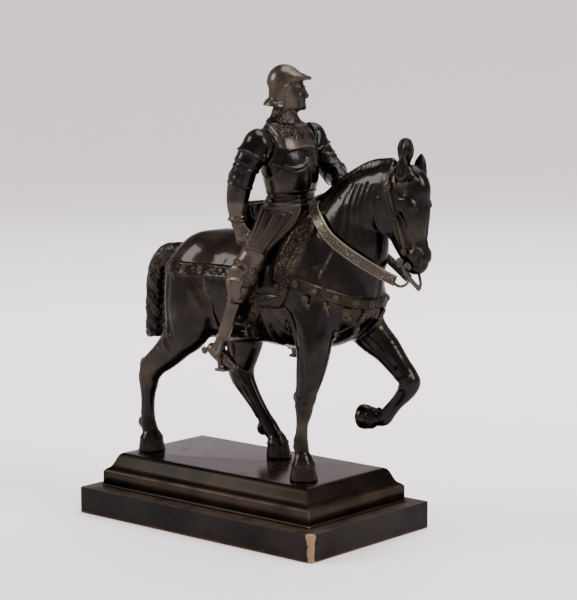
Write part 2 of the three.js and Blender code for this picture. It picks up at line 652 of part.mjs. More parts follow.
function carveHead(clay) {
  for (const side of [1, -1]) {
    clay.ball([114, 6 * side, 167.5], [9.5, 4.5, 12.5], 4); // cheek
    clay.limb([[128, 8 * side, 178.6, 2, 1.6], [132.8, 9 * side, 177.2, 2.4, 2], [137, 7.8 * side, 174, 1.6, 1.4]], 2); // brow
    clay.ball([133, 9 * side, 173.6], [3, 2.2, 2.4], 0.8); // eye
    clay.limb([[125, 8.6 * side, 166, 1.6, 1.4], [129, 7.8 * side, 158, 1.4, 1.2], [131, 7 * side, 151, 1, 1]], 3);
    clay.ball([136, 4.8 * side, 141.4], [3.9, 2.6, 4.6], 2.4); // nostril wing
    clay.ball([138.8, 6.4 * side, 141.4], [1.5, 2, 2.4], 1, { carve: true });
    clay.line(sideLine(clay, side, [[124, 142], [129, 139.6], [135, 139.4]]), 1.7, -1.5); // mouth
    clay.limb(flipped(ear).map(([x, y, ...rest]) => [x, -side * y, ...rest]), 1.2);
    clay.limb([[130, 10.2 * side, 191, 1, 1], [131.4, 10.4 * side, 196, 1.2, 1], [131.4, 9.6 * side, 200.4, 0.4, 0.4]], 0.8,
      { carve: true });
  }
  clay.ball([131.2, 0, 183], [10, 8.8, 11], 3); // forehead
  clay.ball([127.6, 0, 187], [10, 7.6, 10.4], 3); // poll
  clay.ball([133.2, 0, 135.8], [5.2, 5.2, 3.2], 1.5); // lips and chin
  clay.ball([127, 0, 136.8], [4.2, 4.6, 3.2], 2);
}

function carveMane(clay) {
  clay.limb(mane, 3);
  clay.limb(forelock, 1.6);
  const locks = 15;
  for (const side of [1, -1])
    for (let i = 0; i < locks; i++) {
      const s = (i + 0.5) / locks;
      const x = 54 + 62 * s;
      const top = 171 + 28 * Math.sin((Math.PI / 2) * s) ** 1.15;
      const groove = sideLine(clay, side, [[x, top - 1], [x + 0.8, top - 5], [x + 0.2, top - 9]]);
      clay.line(groove, 1.5, -1.1);
    }
  for (let i = 0; i < 7; i++) {
    const turn = (2 * Math.PI * (i + 0.5)) / 7;
    const ring = [[121.5, 196], [123, 203], [124.6, 209]].map(([x, z], step) =>
      [x + (4.6 - step) * Math.cos(turn), (4.4 - step) * Math.sin(turn), z]);
    clay.line(ring, 1.3, -1);
  }
  const strands = 9;
  for (let i = 0; i < strands; i++) {
    const turn = (2 * Math.PI * i) / strands;
    const groove = tail.slice(2).map(([x, y, z, deep, wide], step) =>
      [x - deep * Math.cos(turn + 0.14 * step), y + wide * Math.sin(turn + 0.14 * step), z]);
    clay.line(groove, 1.7, -1.5);
  }
}

// Coronets, the frogs under the hooves, and the tendons down the cannons
function carveLegs(clay) {
  const hooves = [[64, -23.3], [-68.6, -22], [8.6, 17]];
  for (const [x, y] of hooves) {
    clay.raise([x - 11, y - 11, 8], [x + 11, y + 11, 13], (px, py, z) => 0.9 * clamp(1 - Math.abs(z - 10.4) / 1.8));
  }
  for (const side of [1, -1]) {
    clay.line([[61.5, -23 + 4 * side, 48], [59.8, -23 + 4 * side, 36], [58.8, -23 + 4 * side, 25]], 1.8, 0.7);
    clay.line([[-73.5, -22 + 4.6 * side, 44], [-75, -22 + 4.4 * side, 34], [-75, -22 + 4.4 * side, 25]], 1.8, 0.7);
    clay.line([[-22, 17 + 5 * side, 43], [-14, 17 + 4.6 * side, 32], [-6, 17 + 4.4 * side, 22]], 1.8, 0.7);
    clay.line([[110, 18 + 4.4 * side, 56], [103, 18 + 4 * side, 47.5], [96, 18 + 4.4 * side, 40]], 1.8, 0.7);
  }
}

// How far inside the saddle cloth's outline a point of its side view is
const clothEdge = (x, z) => Math.min(z - 107, 65.5 + 0.42 * (z - 150) - x, x - 24 - 0.1 * (z - 110));

function carveSaddle(clay) {
  clay.limb([[4, 0, 146, 5, 17], [20, 0, 146, 6.5, 18], [36, 0, 148, 6.5, 17], [49, 0, 151, 6.5, 14]], 2);
  // the cantle: a curved shell open to the front, with a flat rolled top
  const cantleEnd = (x, y, z) => Math.max(x - 8.4, z - 168.4);
  clay.ball([11.6, 0, 150], [13.4, 18.8, 28], 1, { trim: cantleEnd });
  clay.ball([17, 0, 165], [12, 13.6, 12], 1, { carve: true });
  const pommel = [[52, -13, 153], [52.6, -8, 162], [52.4, 0, 166.5], [52.6, 8, 162], [52, 13, 153]];
  clay.limb(pommel.map((p) => [...p, 2.6, 2.6]), 1.5);
  clay.raise([20, -40, 104], [76, 40, 166], (x, y, z) => {
    const edge = clothEdge(x, z);
    const border = clamp(1 - Math.abs(edge - 2.2) / 1.6);
    return clamp(edge / 1.2 + 0.5) * 1.3 + 0.8 * border;
  });
}

const breastStrap = (x) => 124.5 - 0.28 * (x - 58);
const breechStrap = (x) => 124.8 + 0.9 * Math.cos((x + 20) / 30);

function carveStraps(clay) {
  const band = (middle, half) => clamp((half - Math.abs(middle)) / 1.2 + 0.5);
  clay.raise([57, -40, 100], [118, 40, 138], (x, y, z) => 0.95 * band(z - breastStrap(x), 2.1));
  clay.raise([-76, -40, 112], [7, 40, 138], (x, y, z) => 0.8 * band(z - breechStrap(x), 2.7));
  clay.raise([20, -40, 70], [42, 40, 110], (x, y, z) => 0.9 * band(x - 31 + 0.1 * (z - 80), 4));
  for (const side of [1, -1]) {
    for (const x of [63, 76, 88, 97]) {
      const p = clay.land([x, side * 45, breastStrap(x)], [0, -side, 0]);
      if (!p) continue;
      clay.ball(p, [2.5, 1.8, 2.5], 0.6);
      const hang = sideLine(clay, side, [[x, p[2] - 3], [x - 0.3, p[2] - 7], [x - 0.2, p[2] - 11]]);
      clay.line(hang, 3, 1, { flat: true });
    }
    for (const x of [-8, -22, -36, -48]) {
      const p = clay.land([x, side * 45, breechStrap(x)], [0, -side, 0]);
      if (!p) continue;
      clay.ball(p, [2.6, 1.6, 2.9], 0.6);
      const hang = sideLine(clay, side, [[x, p[2] - 4], [x - 0.6, p[2] - 9], [x - 0.4, p[2] - 14]]);
      clay.line(hang, 2.4, 0.9, { flat: true });
    }
    const cheek = sideLine(clay, side, [[117.5, 187], [120, 176], [123, 163], [125.5, 150], [126, 145]]);
    clay.line(cheek, 2.4, 0.8, { flat: true });
    const brow = [[117.5, 187], [124, 185.5], [130, 186]];
    clay.line(sideLine(clay, side, brow), 2.4, 0.8, { flat: true });
    clay.line(sideLine(clay, side, [[117, 187], [112, 176], [110, 166], [113, 157]]), 2, 0.6, { flat: true });
    clay.line(sideLine(clay, side, [[120.5, 155], [127, 157], [134, 158.5]]), 2.4, 0.8, { flat: true });
    const corner = clay.land([118, side * 30, 186], [0, -side, 0]);
    if (corner) clay.ball(corner, [3, 1.6, 3], 0.6);
  }
}

const legRows = (side, rows) => rows.map(([x, y, ...rest]) => [x, side * y, ...rest]);

function carveRider() {
  const clay = new Clay([-16, -48, 58], [80, 48, 262], riderStep);
  clay.limb(torso, 0);
  clay.limb(throat, 4);
  clay.limb(restingArm, 2.5);
  clay.limb(reinArm, 2.5);
  for (const side of [1, -1]) {
    clay.limb(legRows(side, leg), 4);
    clay.limb(legRows(side, skirt), 3);
    clay.limb(legRows(side, foot), 2);
  }
  carveHelmetAndFace(clay);
  carveArmour(clay);
  carveHands(clay);
  carveStirrups(clay);
  return clay;
}

// The head looks a little to the left of the way the horse goes
const gaze = new Frame([29.5, 0, 240], 38);

// How far a point of the helmet is past the edge that frames the face, or below its hem
const faceEdge = (u, v, w) => Math.max(Math.min(6.4 - w, u - 5.6 - 0.45 * (w - 3.6)), -10.2 - 0.06 * u - w);

function carveHelmetAndFace(clay) {
  const at = { frame: gaze };
  clay.ball([0.2, 0, -1], [9, 7.6, 11.5], 2, at); // skull and jaw
  clay.ball([3.6, 0, -7.4], [6, 5.4, 5.6], 2, at);
  clay.ball([9.2, 0, -3.2], [1.6, 1.3, 2.4], 1, at); // nose
  clay.limb([[8.6, 0, 0.6, 0.9, 0.8], [10, 0, -3.2, 1.1, 1], [10.2, 0, -4.4, 0.9, 1.2]], 0.8, at);
  clay.limb([[8.6, -1.8, -7.4, 0.8, 0.8], [9.4, 0, -7.3, 1, 0.8], [8.6, 1.8, -7.4, 0.8, 0.8]], 0.6, at); // lips
  clay.ball([8, 0, -10.6], [1.9, 2.4, 1.8], 1, at); // chin
  for (const side of [1, -1]) {
    clay.ball([8.6, 2.9 * side, -0.6], [1, 1.5, 0.9], 0.6, { frame: gaze, carve: true });
    clay.ball([7.8, 2.9 * side, -0.7], [1, 1.2, 0.9], 0.2, at);
    clay.limb([[8.6, 1 * side, 1.6, 0.7, 0.7], [8.4, 3 * side, 2, 0.8, 0.8], [7, 5 * side, 1.2, 0.7, 0.7]], 0.6, at);
    clay.ball([6, 4.4 * side, -4], [2, 1.6, 1.8], 1.4, at); // cheek
  }
  // the helmet: a bowl that frames the face, a low comb, a flared neck and a small peak
  clay.ball([-0.8, 0, 4.6], [10.8, 9.8, 11], 0.4, { ...at, trim: faceEdge });
  const wall = [
    [-1.4, 0, 4, 9.4, 9.5], [-3.2, 0, -1, 7.6, 9.2], [-4.8, 0, -5.5, 6.2, 8.6], [-5.8, 0, -8.6, 6.4, 8.6],
    [-6.4, 0, -11, 7.2, 9.6], [-6.6, 0, -13, 8, 10.4],
  ];
  clay.limb(wall, 0.5, { ...at, spans: 3, trim: faceEdge });
  clay.limb([[6.4, 0, 6.6, 1.5, 8.4], [10, 0, 7.4, 1.4, 6.8], [13.4, 0, 8.6, 1.3, 4.4], [15.4, 0, 9.6, 0.8, 2]], 0.7, at);
  const comb = [-80, -50, -20, 10, 40, 65].map((angle) => {
    const a = (angle * Math.PI) / 180;
    return [-0.8 + 10.8 * Math.sin(a), 0, 4.6 + 11 * Math.cos(a)];
  });
  clay.line(comb, 1.9, 1.1, at);
  clay.raise(gaze.out([-20, -20, -14]).map((v, i) => Math.min(v, gaze.origin[i] - 20)), add(gaze.origin, [20, 20, 18]),
    (x, y, z) => {
      const [u, , w] = gaze.local([x, y, z]);
      return u > 2 || w > 6 ? 0 : 0.5 * clamp(1 - Math.abs(w + 10.6) / 1.4);
    });
}

// How far a point of the side view is inside a polygon with no hollow corners
function insideOf(corners, x, z) {
  const middle = scale(corners.map(([a, b]) => [a, 0, b]).reduce(add), 1 / corners.length);
  return Math.min(...corners.map((a, i) => {
    const b = corners[(i + 1) % corners.length];
    const run = Math.hypot(b[0] - a[0], b[1] - a[1]);
    const across = [-(b[1] - a[1]) / run, (b[0] - a[0]) / run];
    const turned = (middle[0] - a[0]) * across[0] + (middle[2] - a[1]) * across[1] > 0 ? 1 : -1;
    return turned * ((x - a[0]) * across[0] + (z - a[1]) * across[1]);
  }));
}

// A ring of raised plate edge about a limb, in the frame of its rows: at a place between two points
function plateEdge(clay, from, to, share, radius, height = 0.9, width = 1.2) {
  const middle = add(from, scale(minus(to, from), share));
  const along = unit(minus(to, from));
  const grow = radius + 2;
  const [[ax, ay, az], [mx, my, mz]] = [along, middle];
  clay.raise(middle.map((v) => v - grow), middle.map((v) => v + grow), (x, y, z) => {
    const s = (x - mx) * ax + (y - my) * ay + (z - mz) * az;
    const away = (x - mx - s * ax) ** 2 + (y - my - s * ay) ** 2 + (z - mz - s * az) ** 2;
    return away > grow * grow ? 0 : height * clamp(1 - Math.abs(s) / width);
  });
}

function carveArmour(clay) {
  // breastplate: a soft middle ridge, the edge of the plate strapped over its lower half, rolled arm edges, a plain
  // bib under the collar, and hoops at the waist
  clay.line([[48.5, 0, 181], [50, 0, 190], [48.5, 0, 198]], 2.6, 1);
  for (const side of [1, -1]) {
    clay.line([[49.4, 0, 197.5], [48.6, side * 4.4, 194], [46, side * 10, 192.2], [41, side * 15, 193.5], [36, side * 18, 196]],
      1.6, 1);
    clay.line([[41.4, side * 15, 207], [44, side * 16.4, 200], [41, side * 17.6, 192], [33.4, side * 18.8, 186]], 1.8, 1);
    clay.line([[18, side * 14, 208], [16.6, side * 16, 198], [21, side * 17.6, 190], [30, side * 18.8, 186]], 1.8, 1);
    clay.ball([28.4, side * 25.2, 205.2], [9.8, 8.6, 10.6], 1.2); // pauldron
  }
  clay.raise([28, -16, 202], [56, 16, 219], (x, y, z) => 0.9 * clamp((z - 204.6) / 1.2) * clamp((x - 30) / 2)
    * clamp(16 - Math.abs(y)));
  for (const level of [182.6, 178.2, 173.8])
    clay.raise([10, -24, level - 3], [56, 24, level + 3], (x, y, z) => 0.9 * clamp(1 - Math.abs(z - level) / 1.3));
  clay.raise([14, -14, 218], [44, 14, 226], (x, y, z) => 1.1 * clamp(1 - Math.abs(z - 221.4) / 1.5));
  clay.raise([14, -14, 213], [44, 14, 218], (x, y, z) => 0.6 * clamp(1 - Math.abs(z - 216) / 1.2));
  // pauldron and arm plates
  for (const rows of [restingArm, reinArm]) {
    const [, upper, low, elbow, past, wristwards] = rows;
    plateEdge(clay, upper, low, 0.13, 12, 0.8);
    plateEdge(clay, upper, low, 0.96, 9.6, 0.7);
    const outward = Math.sign(elbow[1]);
    clay.ball([elbow[0] - 1.6, elbow[1] + outward * 1.2, elbow[2]], [8, 7.6, 7], 0.9); // couter
    clay.ball([elbow[0] + 1.4, elbow[1] + outward * 7.6, elbow[2] + 0.2], [4.8, 1.5, 4.8], 0.6);
    plateEdge(clay, elbow, past, 0.8, 9.4, 0.7);
    plateEdge(clay, wristwards, rows.at(-1), 0.85, 7.4, 1.1);
  }
  // tassets over the thighs, knee plates with wings, and ridged greaves
  for (const side of [1, -1]) {
    const thigh = legRows(side, leg);
    const near = side < 0 ? [-48, -6] : [6, 48];
    clay.raise([18, near[0], 136], [56, near[1], 173], (x, y, z) => {
      const edge = insideOf(tasset, x, z);
      const border = 0.7 * clamp(1 - Math.abs(edge - 1.2) / 1.1);
      return (1.6 * clamp(edge / 1.2 + 0.5) + border) * clamp((y * side - 9) / 3);
    });
    plateEdge(clay, thigh[2], thigh[3], 1.05, 11, 0.8);
    const knee = [25.4, side * 33, 126];
    clay.ball(knee, [8.6, 7.8, 7.6], 1);
    clay.ball([knee[0] - 2.6, knee[1] + side * 7, knee[2] - 0.4], [6.4, 1.6, 6.8], 0.7);
    for (const s of [0, 0.5, 1]) {
      const fan = [[16 + 9 * s, 41, 121], [16.6 + 7.6 * s, 41, 115], [17 + 6.4 * s, 41, 109.6]];
      clay.line(sideLine(clay, side, fan.map(([x, , z]) => [x, z])), 1.5, 0.8);
    }
    plateEdge(clay, thigh[4], thigh[5], 1.5, 9.6, 0.8);
    const ridge = [[20.6, 40.6, 106], [16, 39.6, 97], [11, 38.4, 88], [7.4, 37.4, 81]];
    clay.line(legRows(side, ridge), 1.6, 0.9);
    plateEdge(clay, thigh[8], thigh[9], 0.2, 6, 0.8);
    for (const s of [0.2, 0.9]) plateEdge(clay, legRows(side, foot)[1], legRows(side, foot)[2], s, 6, 0.6);
  }
}

function carveHands(clay) {
  // the right hand rests open on the thigh, and the left holds the reins above the withers
  clay.limb([[18.6, -32.5, 160, 4.2, 3.4], [19.6, -32.4, 155, 4.8, 3], [21.4, -32, 150.5, 4.4, 2.6]], 1.4);
  for (let i = 0; i < 4; i++) {
    const x = 18 + 2.5 * i;
    clay.limb([[x, -32.4, 151, 1.3, 1.3], [x + 1, -31.8, 146.6, 1.25, 1.25], [x + 1.6, -30, 143.4, 1.1, 1.1]], 0.5);
  }
  clay.limb([[23.6, -32, 156, 1.4, 1.4], [26.4, -31, 152.6, 1.3, 1.3], [27.4, -29.6, 150, 1.1, 1.1]], 0.8);
  clay.limb([[58.4, 19.2, 181.8, 4.4, 4], [61.6, 16, 180, 4.6, 4.2], [63.6, 13.6, 178.4, 4, 4]], 1.2);
  for (let i = 0; i < 4; i++) {
    const z = 181.4 - 2.3 * i;
    clay.limb([[62.5, 16.6, z, 1.4, 1.3], [66.6, 14.4, z - 0.3, 1.4, 1.3], [66, 11, z - 0.5, 1.3, 1.3]], 0.5);
  }
  clay.limb([[62, 12.6, 182, 1.5, 1.4], [65, 11.4, 182.6, 1.4, 1.3]], 0.8);
}

function carveStirrups(clay) {
  for (const side of [1, -1]) {
    const arch = [[10, 40.6, 66], [9.4, 41, 74], [8.4, 37.6, 81.5], [7.4, 34, 84], [8.4, 31, 81], [9.6, 31.2, 66]];
    clay.limb(legRows(side, arch).map((p) => [...p, 1.2, 1.2]), 0.5);
    clay.block([10, side * 35.9, 65.6], [4.2, 5.6, 1.1], 0.5, { round: 0.8 });
    clay.limb(legRows(side, [[-4, 33.4, 77, 2.2, 2.2], [-9, 33.4, 75.6, 1.4, 1.4]]), 1);
    clay.ball([-10, side * 33.4, 75.2], [2.6, 1.2, 2.6], 0.4); // spur
  }
}

// A closed solid from rounded rectangles stacked on each other: half length, half width, corner radius, height
function stacked(levels, steps = 5) {
  const points = [];
  for (const [halfX, halfY, radius, z] of levels)
    for (let corner = 0; corner < 4; corner++)
      for (let i = 0; i <= steps; i++) {
        const angle = (Math.PI / 2) * (corner + i / steps);
        const [sx, sy] = [[1, 1], [-1, 1], [-1, -1], [1, -1]][corner];
        const x = sx * (halfX - radius) + radius * Math.cos(angle);
        points.push([x, sy * (halfY - radius) + radius * Math.sin(angle), z]);
      }
  const around = 4 * (steps + 1);
  const triangles = [];
  for (let level = 0; level + 1 < levels.length; level++)
    for (let i = 0; i < around; i++) {
      const [a, b] = [level * around + i, level * around + ((i + 1) % around)];
      triangles.push([a, b, b + around], [a, b + around, a + around]);
    }
  const top = (levels.length - 1) * around;
  for (let i = 1; i + 1 < around; i++) triangles.push([0, i + 1, i], [top, top + i, top + i + 1]);
  return { points, triangles };
}

// A closed strip or wire: a cross-section of [across, up] swept along rows of x, y, z and the way its face looks
function swept(rows, section, spans = 2) {
  const path = smoothRows(rows, spans);
  const points = [];
  path.forEach((row, i) => {
    const ahead = unit(minus((path[i + 1] ?? row).slice(0, 3), (path[i - 1] ?? row).slice(0, 3)));
    const face = row.slice(3);
    const up = unit(minus(face, scale(ahead, dot(face, ahead))));
    const across = cross(up, ahead);
    for (const [u, v] of section) points.push(add(row.slice(0, 3), add(scale(across, u), scale(up, v))));
  });
  const around = section.length;
  const triangles = [];
  for (let ring = 0; ring + 1 < path.length; ring++)
    for (let i = 0; i < around; i++) {
      const [a, b] = [ring * around + i, ring * around + ((i + 1) % around)];
      triangles.push([a, b, b + around], [a, b + around, a + around]);
    }
  const last = (path.length - 1) * around;
  for (let i = 1; i + 1 < around; i++) triangles.push([0, i + 1, i], [last, last + i, last + i + 1]);
  return outward({ points, triangles });
}

// Turns a closed mesh to face out
function outward({ points, triangles }) {
  let volume = 0;
  for (const t of triangles) {
    const [a, b, c] = t.map((v) => points[v]);
    volume += dot(a, cross(b, c));
  }
  return { points, triangles: volume < 0 ? triangles.map(([a, b, c]) => [a, c, b]) : triangles };
}

const circle = (radius, sides) => Array.from({ length: sides }, (_, i) => {
  const angle = (2 * Math.PI * i) / sides;
  return [radius * Math.cos(angle), radius * Math.sin(angle)];
});
const strip = (width, thickness) => {
  const [w, t] = [width / 2, thickness / 2];
  return [[-w, -t * 0.6], [-w + t * 0.8, -t], [w - t * 0.8, -t], [w, -t * 0.6],
    [w, t * 0.6], [w - t * 0.8, t], [-w + t * 0.8, t], [-w, t * 0.6]];
};

// The same mesh with its surface moved out by a gap, to cut a clearance with
function grown({ points, triangles }, gap) {
  const near = points.map(() => []);
  for (const t of triangles) {
    const [a, b, c] = t.map((v) => points[v]);
    const face = unit(cross(minus(b, a), minus(c, a)));
    for (const v of t) near[v].push(face);
  }
  const moved = points.map((p, v) => {
    const middle = unit(near[v].reduce(add, [0, 0, 0]));
    const worst = Math.min(...near[v].map((face) => dot(face, middle)));
    return add(p, scale(middle, gap / clamp(worst, 0.45, 1)));
  });
  return { points: moved, triangles };
}

const biggest = (solid) => solid.decompose().sort((p, q) => q.volume() - p.volume())[0];

// The plinth: a slab with eased edges, and a moulding of an upright face and a cyma up to the flat top
const slab = stacked([
  [slabLength / 2 - slabEdgeChamfer, slabWidth / 2 - slabEdgeChamfer, slabCornerRadius, 0],
  [slabLength / 2, slabWidth / 2, slabCornerRadius, slabEdgeChamfer],
  [slabLength / 2, slabWidth / 2, slabCornerRadius, slabHeight - slabEdgeChamfer],
  [slabLength / 2 - slabEdgeChamfer, slabWidth / 2 - slabEdgeChamfer, slabCornerRadius, slabHeight],
]);

const mouldingFoot = slabHeight + seatGap;
const cymaFoot = mouldingFoot + mouldingFascia;
const plinthTop = cymaFoot + cymaHeight;
const cyma = [
  [0.06, 0.04], [0.16, 0.1], [0.3, 0.19], [0.42, 0.31], [0.5, 0.46], [0.57, 0.63], [0.65, 0.8], [0.74, 0.915],
  [0.86, 0.98], [1, 1],
];
const profile = [
  [0, mouldingFoot], [0, cymaFoot - mouldingArris], [mouldingArris, cymaFoot],
  ...cyma.map(([inwards, up]) => [mouldingArris + inwards * cymaDepth, cymaFoot + up * cymaHeight]),
];
const footHalf = [slabLength / 2 - slabMargin, slabWidth / 2 - slabMargin];
const moulding = stacked(profile.map(([inset, z]) => [footHalf[0] - inset, footHalf[1] - inset, 0.6, z]), 2);

// Horse and rider
const floorBox = stacked([[200, 100, 1, -40], [200, 100, 1, seatGap / part]], 1);
const horseSolid = biggest(solidOf(simplify(carveHorse().net(), horseFaces)).subtract(solidOf(floorBox)));
const horseCutter = solidOf(grown(meshOf(horseSolid), (seatGap + 0.06) / part));
const riderRough = biggest(solidOf(simplify(carveRider().net(), 2 * riderFaces)).subtract(horseCutter));
const riderSolid = biggest(solidOf(simplify(meshOf(riderRough), riderFaces)).subtract(horseSolid));
const riderCutter = solidOf(grown(meshOf(riderSolid), seatGap / part));
const clear = (solid) => biggest(solid.subtract(horseCutter).subtract(riderCutter));

// Reins: the near one lies over the crest and down the right of the neck, the far one down its left
const rightRein = [
  [63, 14, 177.6, 0.2, -0.3, 1], [58, 8, 175.6, 0.1, -0.4, 1], [55.6, 1.5, 173.6, 0.1, -0.5, 0.9],
  [58, -6, 170.6, 0.1, -0.75, 0.65], [63.4, -12.6, 167, 0.1, -0.9, 0.4], [71.6, -18, 162, 0, -1, 0.25],
  [81, -20.3, 153.8, 0, -1, 0.18], [93, -19, 146.4, 0, -1, 0.12], [105.4, -16.2, 139.6, 0, -1, 0.1],
  [116, -13.4, 133.6, 0, -1, 0], [125.4, -10.8, 128.6, 0, -1, 0],
];
const leftRein = [
  [65, 16.6, 174.6, 0.3, 0.8, 1], [68, 20.4, 169, 0.2, 1, 0.4], [75, 22.6, 160.6, 0.1, 1, 0.2],
  [85, 21.4, 152, 0, 1, 0.15], [95, 17.6, 144, 0, 1, 0.1], [104.6, 13, 136.2, 0, 1, -0.1],
  [114, 9.2, 129.2, 0, 1, -0.2], [123.4, 6.2, 124.2, 0, 1, -0.2],
];
const reinRight = clear(solidOf(swept(rightRein, strip(reinWidth / part, reinThickness / part))));
const reinLeft = clear(solidOf(swept(leftRein, strip(farReinWidth / part, reinThickness / part))));

// The bit: two cheeks that meet below the chin, a boss at each corner of the mouth, and the wire link
const look = [0.2, 1, 0.1];
const nearCheek = [[127, -10.2, 140.6, ...look], [128.6, -10, 137.6, ...look], [131.6, -6.4, 131.4, ...look],
  [134.4, 0, 124.6, ...look]];
const farCheek = [[127.6, 9.8, 141, ...look], [131.4, 8.4, 136, ...look], [136.6, 4.6, 129, ...look],
  [134.4, -0.6, 124.8, ...look]];
const wire = [[124.2, -10.6, 124.4, ...look], [126.6, -10.4, 122.6, ...look], [129.4, -9, 124.2, ...look],
  [131.4, -6.6, 130, ...look]];
const bossRing = (side) => swept([[127, side * 12.2, 140.4, 0, 0, 1], [127, side * 11.2, 140.4, 0, 0, 1],
  [127, side * 8, 140.4, 0, 0, 1]], circle(2.7, 10), 1);
const bitParts = [
  swept(nearCheek, circle(bitWire / part, 7), 3),
  swept(farCheek, circle(bitWire / part, 7), 3),
  swept(wire, circle(linkWire / part, 6), 3),
  bossRing(-1),
  bossRing(1),
].map(solidOf);
const bitSolid = biggest(bitParts.reduce((a, b) => a.add(b)).subtract(horseCutter)
  .subtract(solidOf(grown(meshOf(reinRight), seatGap / part))).subtract(solidOf(grown(meshOf(reinLeft), seatGap / part))));

// Figures stand on the plinth's top, and are scaled from parts to millimetres
const placed = (solid) => geometryOf(solid).scale(part, part, part).translate(0, 0, plinthTop);
const bronze = { color: 0x2b2119, metalness: 0.9, roughness: 0.36 };
const pieces = {
  plinth_slab: [geometryOf(solidOf(slab)), { color: 0x0e0c0b, metalness: 0, roughness: 0.55 }],
  plinth_moulding: [geometryOf(solidOf(moulding)), { color: 0x1d1713, metalness: 0.85, roughness: 0.22 }],
  horse: [placed(horseSolid), bronze],
  rider: [placed(riderSolid), { ...bronze, color: 0x2e241c }],
  rein_right: [placed(reinRight), { color: 0x5d584a, metalness: 0.8, roughness: 0.48 }],
  rein_left: [placed(reinLeft), { color: 0x5a5547, metalness: 0.8, roughness: 0.48 }],
  bit: [placed(bitSolid), { color: 0x3f382f, metalness: 0.85, roughness: 0.4 }],
};

const group = new THREE.Group();
group.name = "equestrian_statuette";
for (const [name, [geometry, look]] of Object.entries(pieces)) {
  const mesh = new THREE.Mesh(geometry, new THREE.MeshStandardMaterial({ name, ...look }));
  mesh.name = name;
  group.add(mesh);
}

export default group;
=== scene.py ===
"""Dresses the equestrian statuette: chased bronze figures, a moulded bronze plinth and a worn wooden slab."""

import math

import bpy
import numpy as np
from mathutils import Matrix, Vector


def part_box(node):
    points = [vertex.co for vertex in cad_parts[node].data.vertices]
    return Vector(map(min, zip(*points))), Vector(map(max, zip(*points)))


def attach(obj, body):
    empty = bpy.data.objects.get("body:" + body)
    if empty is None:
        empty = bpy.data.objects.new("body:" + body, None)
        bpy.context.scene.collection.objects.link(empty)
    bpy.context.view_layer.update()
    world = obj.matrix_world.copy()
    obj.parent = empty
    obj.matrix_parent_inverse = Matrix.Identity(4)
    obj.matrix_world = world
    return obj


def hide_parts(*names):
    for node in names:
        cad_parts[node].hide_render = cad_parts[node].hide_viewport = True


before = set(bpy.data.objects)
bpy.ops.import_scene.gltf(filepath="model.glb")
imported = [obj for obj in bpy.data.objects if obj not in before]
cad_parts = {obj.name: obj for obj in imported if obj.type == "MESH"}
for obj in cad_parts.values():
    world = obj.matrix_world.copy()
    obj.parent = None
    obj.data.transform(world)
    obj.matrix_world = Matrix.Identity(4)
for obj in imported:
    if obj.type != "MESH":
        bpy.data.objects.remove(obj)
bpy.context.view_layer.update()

# The figures are written in parts, measured from the plinth's top
CROWN = 256.6  # where the helmet ends, in parts
PLINTH_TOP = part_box("plinth_moulding")[1][2]
PART = (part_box("rider")[1][2] - PLINTH_TOP) / CROWN
MM = 0.001

# The camera, at the photograph's viewing angle
VIEW_TARGET = (0.03174, 0.0, 0.14751)
VIEW_DISTANCE = 1.2647
VIEW_AZIMUTH = 40.7
VIEW_ELEVATION = 7.73
LENS = 120.0

# The grids that the figures are carved on, in parts: their spacing, and their lowest and highest corners
HORSE_STEP = 0.7
RIDER_STEP = 0.5
HORSE_BLOCK = ((-104, -46, -7), (152, 46, 226))
RIDER_BLOCK = ((-16, -48, 58), (80, 48, 262))
FAR = 9.0  # what a grid holds where no clay has been laid
BEYOND = 99.0  # further than anything on a figure is from anything else
MOST_TRIANGLES = 192_000  # of a figure's mesh
BOTH_SIDES = (1, -1)  # the horse's left, then its right

# The horse: rows are x, y, z, half depth and half width of an elliptic section
TRUNK = [
    (-46, 0, 112.5, 15, 15), (-40, 0, 113, 26.5, 22), (-28, 0, 113, 34.5, 27), (-12, 0, 113.5, 36.5, 28.5),
    (15, 0, 114, 35, 30), (42, 0, 116, 38, 29), (62, 0, 117, 36, 25.5), (76, 0, 116, 27, 22),
    (83, 0, 116, 19, 17),
]
NECK = [
    (62, 0, 128, 36, 21), (76.3, 0, 143.1, 32, 19), (84.3, 0, 160.4, 23.6, 16),
    (92.8, 0, 170.3, 20.6, 13.5), (102, 0, 176, 19, 11.5), (110, 0, 179.5, 17.5, 10),
]
HEAD = [
    (114, 0, 184, 13, 9), (122.5, 0, 179.5, 15.4, 10.5), (125.6, 0, 171, 15.2, 10.5),
    (125.8, 0, 161, 14, 9.2), (127.5, 0, 153, 11.6, 7.6), (130.5, 0, 146.5, 10, 6.9), (132, 0, 143, 9.4, 7),
    (132.4, 0, 140.6, 8.7, 6.7), (132.2, 0, 139, 7, 5.8),
]
STANDING_FORELEG = [
    (64, -17, 118, 20, 9), (68, -20, 100, 16, 10), (71, -22, 84, 12, 9.2), (69.5, -22.7, 70, 9.6, 8.4),
    (67.8, -23, 60, 7.2, 7.2), (65.5, -23, 53, 6.1, 6.4), (64.8, -23, 48, 5.6, 6.2),
    (64.4, -23, 42, 4.6, 5.2), (63.2, -23, 36, 3.4, 3.9), (62.6, -23, 29, 3.4, 3.8),
    (61.8, -23, 22, 4.8, 4.6), (63.2, -23.2, 15.5, 4.6, 4.8), (64, -23.3, 11, 6.6, 6.8),
    (64.3, -23.3, 0, 8.9, 8.9), (64.3, -23.3, -4, 9.2, 9.2),
]
